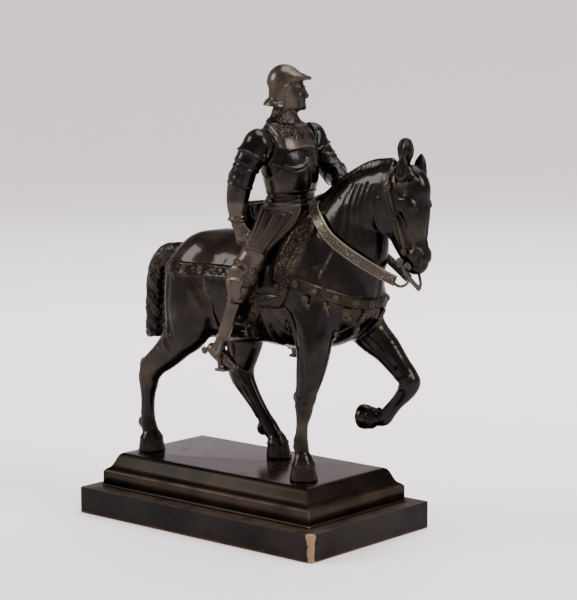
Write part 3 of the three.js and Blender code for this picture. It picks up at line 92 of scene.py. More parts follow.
RAISED_FORELEG = [
    (72, 15, 108, 18, 9), (84, 17, 91, 12.5, 9.5), (96, 18, 81.5, 9.6, 8.4), (106, 18, 72, 7.6, 7.2),
    (113, 18, 65, 6.9, 6.8), (114.5, 18, 60.5, 6.6, 6.6), (111, 18, 54.5, 5.4, 5.2), (105, 18, 48, 4.3, 4),
    (99, 18, 41.5, 4.6, 4.2), (95, 18, 36.8, 4.7, 4.6), (89.2, 18, 34.8, 3.6, 4.2),
    (85, 18, 35.8, 6.4, 6.4), (80, 18, 36, 7.9, 7.6), (76.5, 18, 36, 7.4, 7.4),
]
HIND_LEG_BACK = [
    (-35, -17, 117, 20.5, 12.5), (-34.5, -19.5, 101, 20.5, 13), (-35.5, -21, 88, 17, 11.5),
    (-43.5, -21.5, 77, 12.2, 10), (-54, -22, 67, 10, 8.4), (-64, -22, 59.5, 8.6, 7),
    (-69.8, -22, 52, 7.4, 6.4), (-71, -22, 45, 6.2, 5.6), (-71.6, -22, 38, 4.6, 4.7),
    (-72, -22, 30, 4.2, 4.3), (-72.2, -22, 22, 4.8, 4.6), (-71.4, -22, 16.5, 5.4, 5.2),
    (-69.3, -22, 11.5, 5.4, 5.6), (-69.2, -22, 8, 7.5, 7.5), (-69, -22, 0, 9.1, 9),
    (-69, -22, -4, 9.3, 9.2),
]
HIND_LEG_FORWARD = [
    (-34, 15, 115, 21.5, 12.5), (-29, 17, 99, 20.5, 13), (-22, 17.5, 82, 16, 11), (-21, 17, 68, 11, 9),
    (-23.5, 17, 58, 9.4, 7.6), (-22.5, 17, 50, 8.4, 6.6), (-17, 17, 42, 6.4, 5.4), (-9.5, 17, 33, 4.8, 4.5),
    (-3.5, 17, 25, 4.9, 4.5), (1, 17, 19, 5.8, 5.2), (5.5, 17, 14, 5.2, 5.4), (7.8, 17, 10, 6.6, 6.8),
    (9, 17, 0, 8.4, 8.5), (9, 17, -4, 8.7, 8.7),
]
TAIL = [
    (-50, 0, 131, 6.4, 6.4), (-61, 0, 131.8, 6.2, 6.2), (-71.5, 0, 130.6, 6.4, 6.4),
    (-79.4, 0, 125, 6.8, 6.6), (-84, 0, 114.5, 7, 6.6), (-85.4, 0, 101, 7, 6.6), (-85.8, 0, 87, 6.9, 6.6),
    (-85.8, 0, 78, 6.8, 6.6), (-85.8, 0, 73, 6.6, 6.4),
]
MANE = [
    (52, 0, 166, 5, 3), (65, 0, 173.5, 5.5, 3.2), (77, 0, 182.5, 5.5, 3.2), (89, 0, 189.5, 5.5, 3),
    (101, 0, 194.5, 5.5, 3), (113, 0, 196.5, 5, 3),
]
FORELOCK = [
    (121, 0, 188, 4, 3.6), (122.4, 0, 196, 3.4, 3.2), (123.4, 0, 200.5, 3.4, 3.2),
    (123.9, 0, 204, 4.6, 4.3), (124, 0, 206.6, 4.9, 4.5), (124.1, 0, 209.8, 3.8, 3.5),
    (124.1, 0, 212.1, 1.4, 1.4),
]
EAR = [
    (125.6, 6.4, 188.4, 3.4, 3), (127.6, 8.6, 191, 4, 3.6), (128.1, 9, 194.2, 4.4, 3.7),
    (128.4, 9, 198, 3.7, 3), (128.9, 9, 201.3, 2.1, 1.8), (129.1, 9, 203.5, 0.7, 0.7),
]
HOCK_BACK = [
    (-52, -22, 77, 5, 4), (-63, -22, 66.5, 3.4, 3.2), (-72.6, -22, 58.6, 3.6, 3.4), (-74.6, -22, 50, 3, 3),
]
HOCK_FORWARD = [
    (-30, 17, 76, 5, 4), (-31, 17, 66, 3.2, 3.2), (-32.5, 17, 56, 3.4, 3.4), (-27, 17, 47, 3, 3),
]

# The rider, in the same kind of rows
TORSO = [
    (30, 0, 152, 13, 16), (31.5, 0, 161, 14.5, 18.5), (33.5, 0, 169, 14, 17.5), (34, 0, 175, 13, 16),
    (33.8, 0, 181.5, 15, 18), (33.8, 0, 187.5, 16.2, 19.6), (32.6, 0, 194.5, 16, 21),
    (31, 0, 201, 15, 21.5), (29.5, 0, 207, 13, 21), (28.6, 0, 213, 10.6, 17.6), (28.4, 0, 217, 8.6, 11.5),
]
THROAT = [(28, 0, 212, 9.4, 11), (28, 0, 218, 8.6, 9.2), (28.4, 0, 225, 7.5, 7.6), (29, 0, 234, 7, 7)]
RESTING_ARM = [
    (28.5, -22.5, 205.4, 9.4, 9), (26.6, -28.4, 200.4, 9.4, 8.8), (24.6, -31.8, 193.6, 8, 7.6),
    (22.6, -33.2, 187, 8.2, 7.8), (20.6, -33.8, 180, 7.8, 7.4), (19, -33.8, 171, 7, 6.4),
    (18.4, -33, 162, 5.2, 4.9), (18.6, -32.5, 159, 4.6, 4.2),
]
REIN_ARM = [
    (30.5, 22.5, 205.4, 9.4, 9), (31.5, 28.4, 201, 9.4, 8.8), (35.5, 31.2, 194.8, 8, 7.6),
    (41, 31.6, 188.8, 8.2, 7.8), (47, 29, 185.8, 7.4, 7.2), (53.5, 24, 184, 6.2, 6.2),
    (59, 18.5, 181.5, 4.9, 4.7),
]
LEG = [
    (32, 13, 156, 12, 9), (31, 19, 149, 11, 9), (28.5, 26, 140, 9.8, 8.6), (24.5, 31.5, 130.5, 8.6, 7.8),
    (22.2, 33.5, 122, 7.8, 7.4), (19.4, 34, 114, 6, 6), (14.8, 34, 104, 4.8, 5), (9.6, 33.6, 93, 4.3, 4.4),
    (5.4, 33.4, 84, 3.9, 3.9), (3.2, 33.4, 80, 3.9, 3.8),
]
FOOT = [
    (-3, 33.4, 77, 3.8, 3.6), (3, 34.2, 74.5, 4.2, 4.2), (10, 35.4, 71.5, 4.2, 4.6),
    (16.5, 36.6, 69, 3, 3.6), (19, 37, 68, 1.8, 2.4),
]
SKIRT = [
    (37, 11, 166, 13, 8), (38, 16, 158, 11.5, 8.5), (35, 23, 149.5, 9.6, 8.6), (32.6, 28, 142.5, 8.4, 7.6),
]


def through(rows, spans=4):
    """A smooth run of rows through the given ones, every number of each."""
    rows = np.array(rows, float)
    if len(rows) < 3:
        return rows
    held = np.vstack([2 * rows[0] - rows[1], rows, 2 * rows[-1] - rows[-2]])
    out = []
    for a, b, c, d in zip(held, held[1:], held[2:], held[3:]):
        for t in np.arange(spans) / spans:
            out.append(0.5 * (2 * b + (c - a) * t + (2 * a - 5 * b + 4 * c - d) * t ** 2
                              + (3 * b - a - 3 * c + d) * t ** 3))
    out.append(rows[-1])
    return np.array(out)


def unit(v):
    """The same way, one long."""
    v = np.asarray(v, float)
    return v / np.maximum(np.linalg.norm(v, axis=-1, keepdims=True), 1e-9)


def ramp(value, low, high):
    """0 at low, 1 at high, and straight between."""
    return np.clip((value - low) / (high - low), 0, 1)


def peak(away, width):
    """1 at nought, falling straight to 0 at the width."""
    return np.clip(1 - np.abs(away) / width, 0, 1)


def hump(away, width):
    """1 at nought, falling in a round curve to 0 at the width."""
    return np.clip(1 - (away / width) ** 2, 0, 1)


def circle(count):
    """Angles evenly round a circle, the first one not repeated at the end."""
    return np.linspace(0, math.tau, count, endpoint=False)


CLOSED = np.linspace(0, math.tau, 17)  # the same, with the first one repeated


def mirrored(rows, side):
    """Rows that are written for the left side, on either side."""
    return [(row[0], row[1] * side, *row[2:]) for row in rows]


class Place:
    """A frame of its own: an origin, and a turn about Z in degrees."""

    def __init__(self, origin=(0, 0, 0), turn=0):
        t = math.radians(turn)
        self.origin = np.array(origin, float)
        self.axes = np.array([(math.cos(t), math.sin(t), 0), (-math.sin(t), math.cos(t), 0), (0, 0, 1)])

    def out(self, p):
        """From its own coordinates to the figure's."""
        return np.asarray(p, float) @ self.axes + self.origin

    def lay(self, points):
        return [self.out(p) for p in points]

    def local(self, x, y, z):
        """From the figure's coordinates to its own."""
        x, y, z = x - self.origin[0], y - self.origin[1], z - self.origin[2]
        return [a[0] * x + a[1] * y + a[2] * z for a in self.axes]


HOME = Place()


# What a line raises: how far it reaches, and its height by the distance from it and the run along it
def bead(width, height):
    """A round line, raised, or sunk where the height is less than nought."""
    return width, lambda far, run: height * hump(far, width) ** 2


def strap(width, height, rim=0.0, soft=0.7):
    """A flat strap, with a raised rim just inside each edge."""
    half = width / 2
    rim_width, rim_inset = 0.7, 0.8
    return half + soft, lambda far, run: (height * ramp(half - far, -soft / 2, soft / 2)
                                          + rim * peak(far - half + rim_inset, rim_width))


def rope(width, height, pitch=2.2):
    """A round bead with slanting turns, as on a roped plate edge."""
    return width, lambda far, run: (height * hump(far, width)
                                    * (0.72 + 0.28 * np.sin(math.tau * run / pitch)))


def flat_between(corners):
    """Two measures for four corners in a plane: the height above it, outwards, and how far inside them."""
    corners = np.array(corners, float)
    middle = corners.mean(0)
    up = unit(np.cross(corners[2] - corners[0], corners[3] - corners[1]))
    up = up if up[1] * middle[1] > 0 else -up

    def level(x, y, z):
        return (x - middle[0]) * up[0] + (y - middle[1]) * up[1] + (z - middle[2]) * up[2]

    def inside(x, y, z):
        least = BEYOND
        for a, b in zip(corners, np.roll(corners, -1, 0)):
            across = unit(np.cross(up, b - a))
            across = across if (middle - a) @ across > 0 else -across
            deep = (x - a[0]) * across[0] + (y - a[1]) * across[1] + (z - a[2]) * across[2]
            least = np.minimum(least, deep)
        return least

    return level, inside


CELL_CORNERS = [(i, j, k) for i in (0, 1) for j in (0, 1) for k in (0, 1)]


class Clay:
    """A grid that holds, roughly, how far each point is from the surface: minus inside, plus outside."""

    def __init__(self, low, high, step):
        self.step = step
        self.low = np.array(low, float)
        self.size = np.ceil((np.array(high, float) - self.low) / step).astype(int) + 1
        self.field = np.full(self.size, FAR, np.float32)

    def finer(self):
        """The same clay on a grid twice as fine."""
        fine = Clay(self.low, self.low, self.step / 2)
        field = self.field
        for axis in range(3):
            f = np.moveaxis(field, axis, 0)
            padded = np.concatenate([f[:1], f, f[-1:]])
            out = np.empty((2 * len(f) - 1,) + f.shape[1:], np.float32)
            out[::2] = f
            out[1::2] = (9 * (f[:-1] + f[1:]) - padded[:-3] - padded[3:]) / 16
            field = np.moveaxis(out, 0, axis)
        fine.field = np.ascontiguousarray(field)
        fine.size = np.array(field.shape)
        return fine

    def window(self, low, high):
        """The part of the grid that covers a box, and its x, y and z."""
        first = np.clip(np.floor((np.array(low) - self.low) / self.step).astype(int), 0, self.size - 2)
        last = np.clip(np.ceil((np.array(high) - self.low) / self.step).astype(int) + 1, first + 1, self.size)
        part = tuple(slice(a, b) for a, b in zip(first, last))
        return part, *self.grid(part)

    def grid(self, part):
        """The x, y and z of a part of the grid, each laid along its own axis."""
        x, y, z = [(low + self.step * np.arange(s.start, s.stop)).astype(np.float32)
                   for low, s in zip(self.low, part)]
        return x[:, None, None], y[None, :, None], z[None, None, :]

    def join(self, part, far, blend, carve):
        """Lays a shape on, or carves it away, with a soft fillet of about the blend's width."""
        held = self.field[part]
        sign = -1 if carve else 1
        far = sign * far
        k = max(blend, 1e-3)
        h = np.clip(0.5 + sign * 0.5 * (far - held) / k, 0, 1)
        held[...] = far + (held - far) * h - sign * k * h * (1 - h)

    def stretches(self, path, reach):
        """The grid's part round a path, its shape, and for each stretch where its own part lies in that."""
        part, *_ = self.window((path[:, :3] - reach[:, None]).min(0), (path[:, :3] + reach[:, None]).max(0))
        first = np.array([s.start for s in part])
        cells = []
        for i in range(len(path) - 1):
            pair, grow = path[i:i + 2, :3], reach[i:i + 2, None]
            sub, *grid = self.window((pair - grow).min(0), (pair + grow).max(0))
            cells.append((i, tuple(slice(s.start - a, s.stop - a) for s, a in zip(sub, first)), *grid))
        return part, [s.stop - s.start for s in part], cells

    def limb(self, rows, blend=3.0, place=HOME, carve=False, spans=4, trim=None):
        """A run of elliptic sections; a trim says how far outside it each point of the place's frame is."""
        path = through(rows, spans)
        thinnest = 0.15
        path[:, 3:] = np.maximum(path[:, 3:], thinnest)
        laid = path.copy()
        laid[:, :3] = place.out(path[:, :3])
        reach = path[:, 3:].max(1) + blend + 2 * self.step
        part, shape, cells = self.stretches(laid, reach)
        nearest = np.full(shape, FAR, np.float32)
        for i, cell, x, y, z in cells:
            a, b = path[i], path[i + 1]
            u, v, w = place.local(x, y, z)
            u, v, w = u - a[0], v - a[1], w - a[2]
            run = b[:3] - a[:3]
            t = np.clip((u * run[0] + v * run[1] + w * run[2]) / max(run @ run, 1e-9), 0, 1)
            u, v, w = u - t * run[0], v - t * run[1], w - t * run[2]
            deep, wide = a[3] + t * (b[3] - a[3]), a[4] + t * (b[4] - a[4])
            uw, vv = u * u + w * w, v * v
            near = np.sqrt(uw / deep ** 2 + vv / wide ** 2)
            slope = np.sqrt(uw / deep ** 4 + vv / wide ** 4)
            np.minimum(nearest[cell], near * (near - 1) / np.maximum(slope, 1e-4), out=nearest[cell])
        self.join(part, self.trimmed(part, nearest, place, trim), blend, carve)

    def trimmed(self, part, far, place, trim):
        return far if trim is None else np.maximum(far, trim(*place.local(*self.grid(part))))

    def ball(self, centre, radii, blend=3.0, place=HOME, carve=False, trim=None):
        """An ellipsoid, laid on or carved away."""
        middle = place.out(centre)
        reach = max(radii) + blend + 2 * self.step
        part, x, y, z = self.window(middle - reach, middle + reach)
        q = [(a - c) / r for a, c, r in zip(place.local(x, y, z), centre, radii)]
        near = np.sqrt(sum(a * a for a in q))
        slope = np.sqrt(sum((a / r) ** 2 for a, r in zip(q, radii)))
        far = near * (near - 1) / np.maximum(slope, 1e-4)
        self.join(part, self.trimmed(part, far, place, trim), blend, carve)

    def panel(self, corners, thick, borders=(), blend=0.4):
        """A flat plate between corners given in order, with raised lines at distances in from its edge."""
        level, inside = flat_between(corners)
        corners = np.array(corners, float)
        part, x, y, z = self.window(corners.min(0) - thick - 2, corners.max(0) + thick + 2)
        edge = inside(x, y, z)
        high = thick / 2
        for into, width, height in borders:
            high = high + height * peak(edge - into, width)
        self.join(part, np.maximum(-edge, np.abs(level(x, y, z)) - high), blend, False)

    def block(self, centre, half, blend, carve=False, rounding=1.0):
        """A box with rounded edges, laid on or carved away."""
        middle = HOME.out(centre)
        reach = np.linalg.norm(half) + blend + 2 * self.step
        part, x, y, z = self.window(middle - reach, middle + reach)
        q = [np.abs(a - c) - h + rounding for a, c, h in zip(HOME.local(x, y, z), centre, half)]
        outside = np.sqrt(sum(np.maximum(a, 0) ** 2 for a in q))
        inside = np.minimum(np.maximum(np.maximum(q[0], q[1]), q[2]), 0)
        self.join(part, outside + inside - rounding, blend, carve)

    def along(self, points, profile, spans=4):
        """Raises the surface along a line by what the profile gives."""
        width, height = profile
        path = through(points, spans)
        part, shape, cells = self.stretches(path, np.full(len(path), width + 2 * self.step))
        nearest, runs = np.full(shape, BEYOND, np.float32), np.zeros(shape, np.float32)
        done = 0.0
        for i, cell, x, y, z in cells:
            a, run = path[i], path[i + 1] - path[i]
            u, v, w = x - a[0], y - a[1], z - a[2]
            length = max(np.linalg.norm(run), 1e-6)
            t = np.clip((u * run[0] + v * run[1] + w * run[2]) / length ** 2, 0, 1)
            far = np.sqrt((u - t * run[0]) ** 2 + (v - t * run[1]) ** 2 + (w - t * run[2]) ** 2)
            closer = far < nearest[cell]
            nearest[cell] = np.where(closer, far, nearest[cell])
            runs[cell] = np.where(closer, done + t * length, runs[cell])
            done += length
        self.field[part] -= height(nearest, runs).astype(np.float32)

    def line(self, points, width, height, spans=4):
        """A bead along rough points, once they have been moved on to the surface."""
        self.along(self.onto(points), bead(width, height), spans)

    def side_line(self, side, points, width, height):
        """A bead along points of the side view, x and z."""
        self.along(self.drop(side, points), bead(width, height))

    def raise_in(self, low, high, height):
        """Raises the surface inside a box by what height(x, y, z) says."""
        part, x, y, z = self.window(low, high)
        self.field[part] -= (height(x, y, z) + 0 * (x + y + z)).astype(np.float32)

    def raise_beside(self, side, low, high, height):
        """The same on one side only, in a box that is written for the left side."""
        near, far = sorted((low[1] * side, high[1] * side))
        self.raise_in((low[0], near, low[2]), (high[0], far, high[2]), height)

    def raise_round(self, start, end, share, reach, height):
        """Raises the surface round a limb, by the run past a share of it and the distance from its middle."""
        start, end = np.array(start[:3], float), np.array(end[:3], float)
        middle, run = start + (end - start) * share, unit(end - start)

        def raised(x, y, z):
            s = (x - middle[0]) * run[0] + (y - middle[1]) * run[1] + (z - middle[2]) * run[2]
            away = (x - middle[0]) ** 2 + (y - middle[1]) ** 2 + (z - middle[2]) ** 2 - s * s
            return height(s, np.sqrt(np.maximum(away, 0)))

        self.raise_in(middle - reach, middle + reach, raised)

    def lame(self, start, end, share, radius, height=0.8, width=2.6):
        """The lower edge of a plate round a limb: a step that fades upwards, with a rim along it."""
        def step(s, away):
            rim = 0.45 * height * peak(s + 0.9, 0.7)
            return (height * ramp(-s, -0.35, 0.35) * ramp(s, -width, 0) + rim) * ramp(radius + 2 - away, 0, 1)

        self.raise_round(start, end, share, radius + 3, step)

    def cuff(self, start, end, share, radius, height):
        """A round rim about a limb, where one plate ends."""
        self.raise_round(start, end, share, radius + 2,
                         lambda s, away: height * hump(s, 0.9) * ramp(radius - away, -1, 0))

    def value(self, p):
        """The field at points, between the grid's own."""
        q = np.clip((np.asarray(p) - self.low) / self.step, 0, self.size - 1.001)
        cell = np.floor(q).astype(int)
        f = (q - cell).astype(np.float32)
        total = np.zeros(len(q), np.float32)
        for corner in CELL_CORNERS:
            share = np.prod([f[:, i] if up else 1 - f[:, i] for i, up in enumerate(corner)], axis=0)
            total += share * self.field[tuple((cell + corner).T)]
        return total

    def slope(self, p, reach=1.0):
        """The way out of the surface at points."""
        steps = np.eye(3) * self.step * reach
        return unit(np.stack([self.value(p + s) - self.value(p - s) for s in steps], 1))

    def onto(self, points, turns=8):
        """Moves rough points on to the surface."""
        p = np.array(points, float)
        for _ in range(turns):
            p = p - self.slope(p) * np.clip(self.value(p), -1.5, 1.5)[:, None]
        return p

    def drop(self, side, rows):
        """Side-view points, x and z, dropped on to the surface from one side."""
        outermost, where_missed = 46, 6.0
        out = []
        for x, z in rows:
            y = np.arange(0, outermost, self.step / 2)[::-1] * side
            p = np.stack([np.full_like(y, x), y, np.full_like(y, z)], 1)
            inside = self.value(p) < 0
            out.append(p[np.argmax(inside)] if inside.any() else (x, where_missed * side, z))
        return np.array(out)

    def surface(self):
        """One point for each mixed cell of the grid, and one four-sided face for each crossed edge."""
        d, inside = self.field, self.field < 0
        count = np.zeros([n - 1 for n in d.shape], np.uint8)
        for c in CELL_CORNERS:
            count += inside[tuple(slice(o, n - 1 + o) for o, n in zip(c, d.shape))]
        mixed = (count > 0) & (count < 8)
        cells = np.argwhere(mixed)
        index = np.full(count.shape, -1, np.int32)
        index[mixed] = np.arange(len(cells))
        values = {c: d[tuple((cells + c).T)] for c in CELL_CORNERS}
        total, crossings = np.zeros((len(cells), 3)), np.zeros(len(cells))
        for c in CELL_CORNERS:
            for axis in [a for a in range(3) if not c[a]]:
                end = tuple(1 if a == axis else o for a, o in enumerate(c))
                a, b = values[c], values[end]
                crossed = (a < 0) != (b < 0)
                point = np.tile(np.array(c, float), (len(cells), 1))
                point[:, axis] += np.where(crossed, a / np.where(crossed, a - b, 1), 0)
                total += point * crossed[:, None]
                crossings += crossed
        points = self.low + self.step * (cells + total / crossings[:, None])
        faces = []
        for axis in range(3):
            b, c = (axis + 1) % 3, (axis + 2) % 3
            near, past = [slice(1, -1)] * 3, [slice(1, -1)] * 3
            near[axis], past[axis] = slice(0, -1), slice(1, None)
            starts = inside[tuple(near)]
            edges = np.argwhere(starts != inside[tuple(past)])
            out = starts[tuple(edges.T)]
            edges[:, b] += 1
            edges[:, c] += 1
            ring = []
            for back_b, back_c in ((0, 0), (-1, 0), (-1, -1), (0, -1)):
                cell = edges.copy()
                cell[:, b] += back_b
                cell[:, c] += back_c
                ring.append(index[tuple(cell.T)])
            ring = np.stack(ring, 1)
            ring[~out] = ring[~out][:, ::-1]
            faces.append(ring)
        furthest = 0.4  # that a point is moved to lie better on the surface
        fit = np.clip(self.value(points), -furthest, furthest)
        return points - self.slope(points, 0.7) * fit[:, None], np.concatenate(faces)


# Lines on both sides of the horse, in side view: x and z of their points, then width and height of the bead
BODY_LINES = [
    ([(-47, 126), (-46, 110), (-45, 96), (-42, 84)], 4.0, -1.0),  # between the thigh and the buttock
    ([(-49.5, 88), (-46, 78), (-42.5, 71)], 1.6, -0.7),
    ([(-47, 90), (-43.5, 80), (-40, 73)], 1.6, 0.5),
    ([(-52, 86), (-49, 76), (-46, 70)], 1.6, 0.5),
    ([(-24, 112), (-17, 100), (-18, 88)], 4.0, 0.9),  # the flank's fold
    ([(-16, 116), (-10, 102), (-11, 90)], 4.5, -0.7),
    ([(46, 150), (52, 134), (64, 122), (74, 116)], 4.5, 0.7),  # shoulder blade
    ([(40, 112), (50, 108), (60, 98), (64, 86)], 3.4, -0.9),  # behind the upper foreleg
    ([(74, 132), (80, 120), (82, 106), (80, 94)], 3.6, -0.8),  # between shoulder and breast
    ([(62, 104), (70, 96), (73, 84)], 4.0, 0.6),
    ([(88, 168), (84, 152), (78, 138), (74, 128)], 4.0, -0.7),  # along the windpipe
    ([(90.4, 184), (88, 172), (87.4, 161), (88.6, 150)], 1.1, -0.4),
    ([(93.4, 184), (91.2, 173), (90.6, 162), (91.6, 151)], 1.0, 0.4),
    ([(95.6, 185), (93.4, 174), (92.8, 163), (93.6, 152)], 1.0, -0.55),
    ([(97.6, 185), (95.4, 174), (94.8, 163), (95.6, 153)], 0.9, 0.4),
    ([(99.6, 185), (97.4, 174), (96.8, 163), (97.4, 154)], 1.0, -0.6),
    ([(101.4, 186), (99.4, 175), (98.8, 164), (99.4, 155)], 0.9, 0.45),
    ([(103.2, 186), (101.4, 175), (100.8, 165), (101.4, 156)], 1.0, -0.65),
    ([(105, 185), (103.4, 175), (102.8, 166), (103.4, 157)], 0.9, 0.45),
    ([(106.8, 184), (105.4, 175), (105, 166), (105.6, 158)], 1.0, -0.6),
]
RIBS = [(x, 0.35 - 0.03 * i) for i, x in enumerate((34, 26, 18, 10, 2, -5))]
HEAD_LINES = [
    ([(124, 170.5), (126.6, 161), (128.2, 151)], 1.8, 1.2),  # the ridge below the eye
    ([(127.6, 168), (131, 158), (133.6, 150)], 3.2, -1.5),
    ([(136.6, 170), (138.6, 160), (140.4, 151)], 1.5, 0.5),
    ([(112, 177), (109, 168), (111, 158), (118, 152.5)], 1.8, 0.8),  # the jaw's edge
    ([(122, 157), (126, 150), (130, 145)], 1.2, 0.4),
    ([(119, 163), (123, 156), (128, 151.5)], 0.9, 0.35),
    ([(124.6, 139.6), (129, 137.8), (133.4, 137), (138, 137.6)], 1.0, -1.1),  # mouth
]
# Tendons and joints: points roughly on the leg, then width and height of the bead
LEG_LINES = [
    ([(59.6, -19.6, 48), (58.6, -20.2, 36), (57.6, -20, 25)], 1.5, 0.7),
    ([(59.6, -26.4, 48), (58.6, -26.2, 36), (57.6, -26.4, 25)], 1.5, 0.7),
    ([(63, -27.4, 46), (61.6, -26.8, 34), (61, -27.4, 26)], 1.0, -0.7),
    ([(70, -29.5, 78), (70.6, -30.6, 66), (69, -29, 58)], 2.0, -0.7),
    ([(75, -28, 82), (75.6, -29, 70), (72.6, -28, 61)], 2.0, 0.6),
    ([(64, -31, 74), (62.4, -30.6, 64), (61.6, -28.6, 56)], 1.8, 0.7),
    ([(60.6, -29, 54), (66, -30, 51.4), (70.4, -27, 52.6)], 1.7, 0.8),
    ([(60, -27, 46.6), (66, -28.6, 44.8), (69.6, -26, 45.8)], 1.3, 0.7),
    ([(60.8, -29, 50), (66, -29.6, 48.2), (70.2, -27, 49)], 1.1, -0.8),
    ([(-75.6, -25.6, 48), (-76.2, -25.8, 36), (-76.4, -25.8, 25)], 1.6, 0.8),
    ([(-75.6, -18.4, 48), (-76.2, -18.2, 36), (-76.4, -18.2, 25)], 1.6, 0.8),
    ([(-71, -27, 46), (-72, -26.4, 34), (-72.4, -26.6, 25)], 1.0, -0.7),
    ([(-68, -27.6, 60), (-73, -26.6, 56), (-74.6, -25.4, 50)], 1.7, 0.8),
    ([(-56, -30, 70), (-64, -28.6, 63), (-70, -26.6, 58)], 2.2, -0.9),
    ([(-24, 22, 44), (-17, 21.4, 34), (-9, 21.2, 25)], 1.5, 0.8),
    ([(-24, 12.4, 44), (-17, 12.8, 34), (-9, 13, 25)], 1.5, 0.8),
    ([(-17, 11.6, 43), (-9.6, 12.4, 33), (-3.6, 12.6, 26)], 1.2, 0.8),
    ([(-20, 11.4, 50), (-12, 12.2, 38), (-6, 12.4, 30)], 1.0, -0.8),
    ([(-27, 10, 60), (-20, 10, 52), (-16, 11.4, 46)], 2.0, 0.9),
    ([(-30, 9, 66), (-22, 8.8, 60), (-15, 11, 54)], 1.8, -0.8),
    ([(113, 12, 60), (104.6, 13.8, 49), (98, 13.6, 41.6)], 1.4, 0.7),
    ([(109, 14.2, 57), (101.6, 14.6, 47.4), (95, 14.2, 40)], 1.0, -0.7),
    ([(86, 9.4, 92), (97, 10.4, 82), (108, 11.6, 72)], 2.6, -1.0),
    ([(107.6, 12.4, 64.6), (112, 11.2, 63.4), (117.4, 12.6, 66.4)], 1.8, 0.8),
    ([(108.6, 12.8, 59), (113, 11.8, 58.6), (118.4, 13, 61)], 1.4, 0.6),
]
# Each hoof: middle of the coronet, and which way the leg runs down into it
HOOVES = [
    ((63.6, -23.3, 11), (0.05, 0, -1)), ((-68.7, -22, 10), (0.05, 0, -1)), ((7.6, 17, 10.4), (0.1, 0, -1)),
    ((86.6, 18, 36), (-1, 0, 0.02)),
]

# Straps, in side view
SADDLE_LEATHER = [(59.6, 161), (56.8, 150), (52.2, 138.5), (49.6, 127)]
CLOTH_TAB = [(30.3, 105.5), (23.4, 95.5), (18, 87)]
GIRTH = [(36, 104), (38.4, 92), (39, 84)]
BRIDLE = [  # with widths
    ([(119.3, 185.4), (121.4, 177), (125.2, 166), (128, 155), (129, 146)], 3.0),
    ([(119.3, 185.4), (125, 186), (131, 186.6), (136, 189)], 2.4),
    ([(119, 186), (117.5, 192), (116.4, 197)], 2.6),
]


def staggered(row, run):
    """Waves in rows, each row half a wave on from the last."""
    return np.sin(math.tau * row) * np.sin(math.tau * (run + 0.5 * np.floor(row)))


def grained(x, z):
    """Small raised grains in rows, as on stitched or stamped bands."""
    return 0.45 + 0.45 * staggered((x + z) / 2.5, (x - z) / 2.3)


def saddle_cloth_edge(x, z):
    """How far inside the saddle cloth's outline a point of its side view is, with rounded lower corners."""
    front = np.minimum(70 + 0.27 * (z - 161), 59.6 + 0.48 * (z - 122.7)) - x
    back = x - (24 + 0.1 * (z - 110))
    low = z - 107
    side = np.minimum(front, back)
    corner = 5.0
    inside = np.minimum(side, low)
    rounded = corner - np.sqrt(np.maximum(corner - side, 0) ** 2 + np.maximum(corner - low, 0) ** 2)
    return np.where((side < corner) & (low < corner), rounded, inside)


def breast_strap_height(x):
    """The strap's middle line in side view."""
    return 124.5 - 0.28 * (x - 58)


def crupper_height(x):
    """The crupper's middle line in side view."""
    return 124.8 + 0.9 * np.cos((x + 20) / 30)


def carve_horse():
    clay = Clay(*HORSE_BLOCK, HORSE_STEP * 2)
    clay.limb(TRUNK, 0)
    clay.limb(NECK, 8)
    for side in BOTH_SIDES:
        for centre, radii, blend in (
            ((-28, 12, 123.5), (23, 16, 24), 8),  # haunch
            ((-46, 11, 108), (14.5, 10, 22), 6),  # buttock
            ((56, 15, 130), (16, 12, 24), 8),  # shoulder blade
            ((72, 14, 110), (17, 12, 17), 6),  # point of the shoulder
            ((88, 9, 112), (12, 9, 15), 5),  # breast
        ):
            clay.ball((centre[0], centre[1] * side, centre[2]), radii, blend)
    for rows, blend in ((STANDING_FORELEG, 5), (RAISED_FORELEG, 5), (HIND_LEG_BACK, 6),
                        (HIND_LEG_FORWARD, 6), (HOCK_BACK, 3), (HOCK_FORWARD, 3), (HEAD, 4), (TAIL, 3)):
        clay.limb(rows, blend)
    clay = clay.finer()
    carve_muscles(clay)
    carve_head(clay)
    carve_mane_and_tail(clay)
    carve_hooves(clay)
    carve_saddle(clay)
    carve_straps(clay)
    # the hooves are cut off flat, just above the plinth
    clearance = 0.3
    part, x, y, z = clay.window(HORSE_BLOCK[0], (*HORSE_BLOCK[1][:2], 2))
    np.maximum(clay.field[part], clearance - z, out=clay.field[part])
    return clay


def carve_muscles(clay):
    for points, width, height in BODY_LINES:
        for side in BOTH_SIDES:
            clay.side_line(side, points, width, height)
    for x, height in RIBS:
        for side in BOTH_SIDES:
            clay.side_line(side, [(x, 132), (x - 4, 116), (x - 10, 98)], 2.6, height)
    for points, width, height in LEG_LINES:
        clay.line(points, width, height)
    clay.line([(98, 0, 126), (98, 0, 114), (94, 0, 103), (84, 0, 92)], 3, -1.3)
    for side in BOTH_SIDES:
        clay.line(mirrored([(96, 5, 112), (91, 9, 102), (82, 11, 93)], side), 2.4, -0.7)


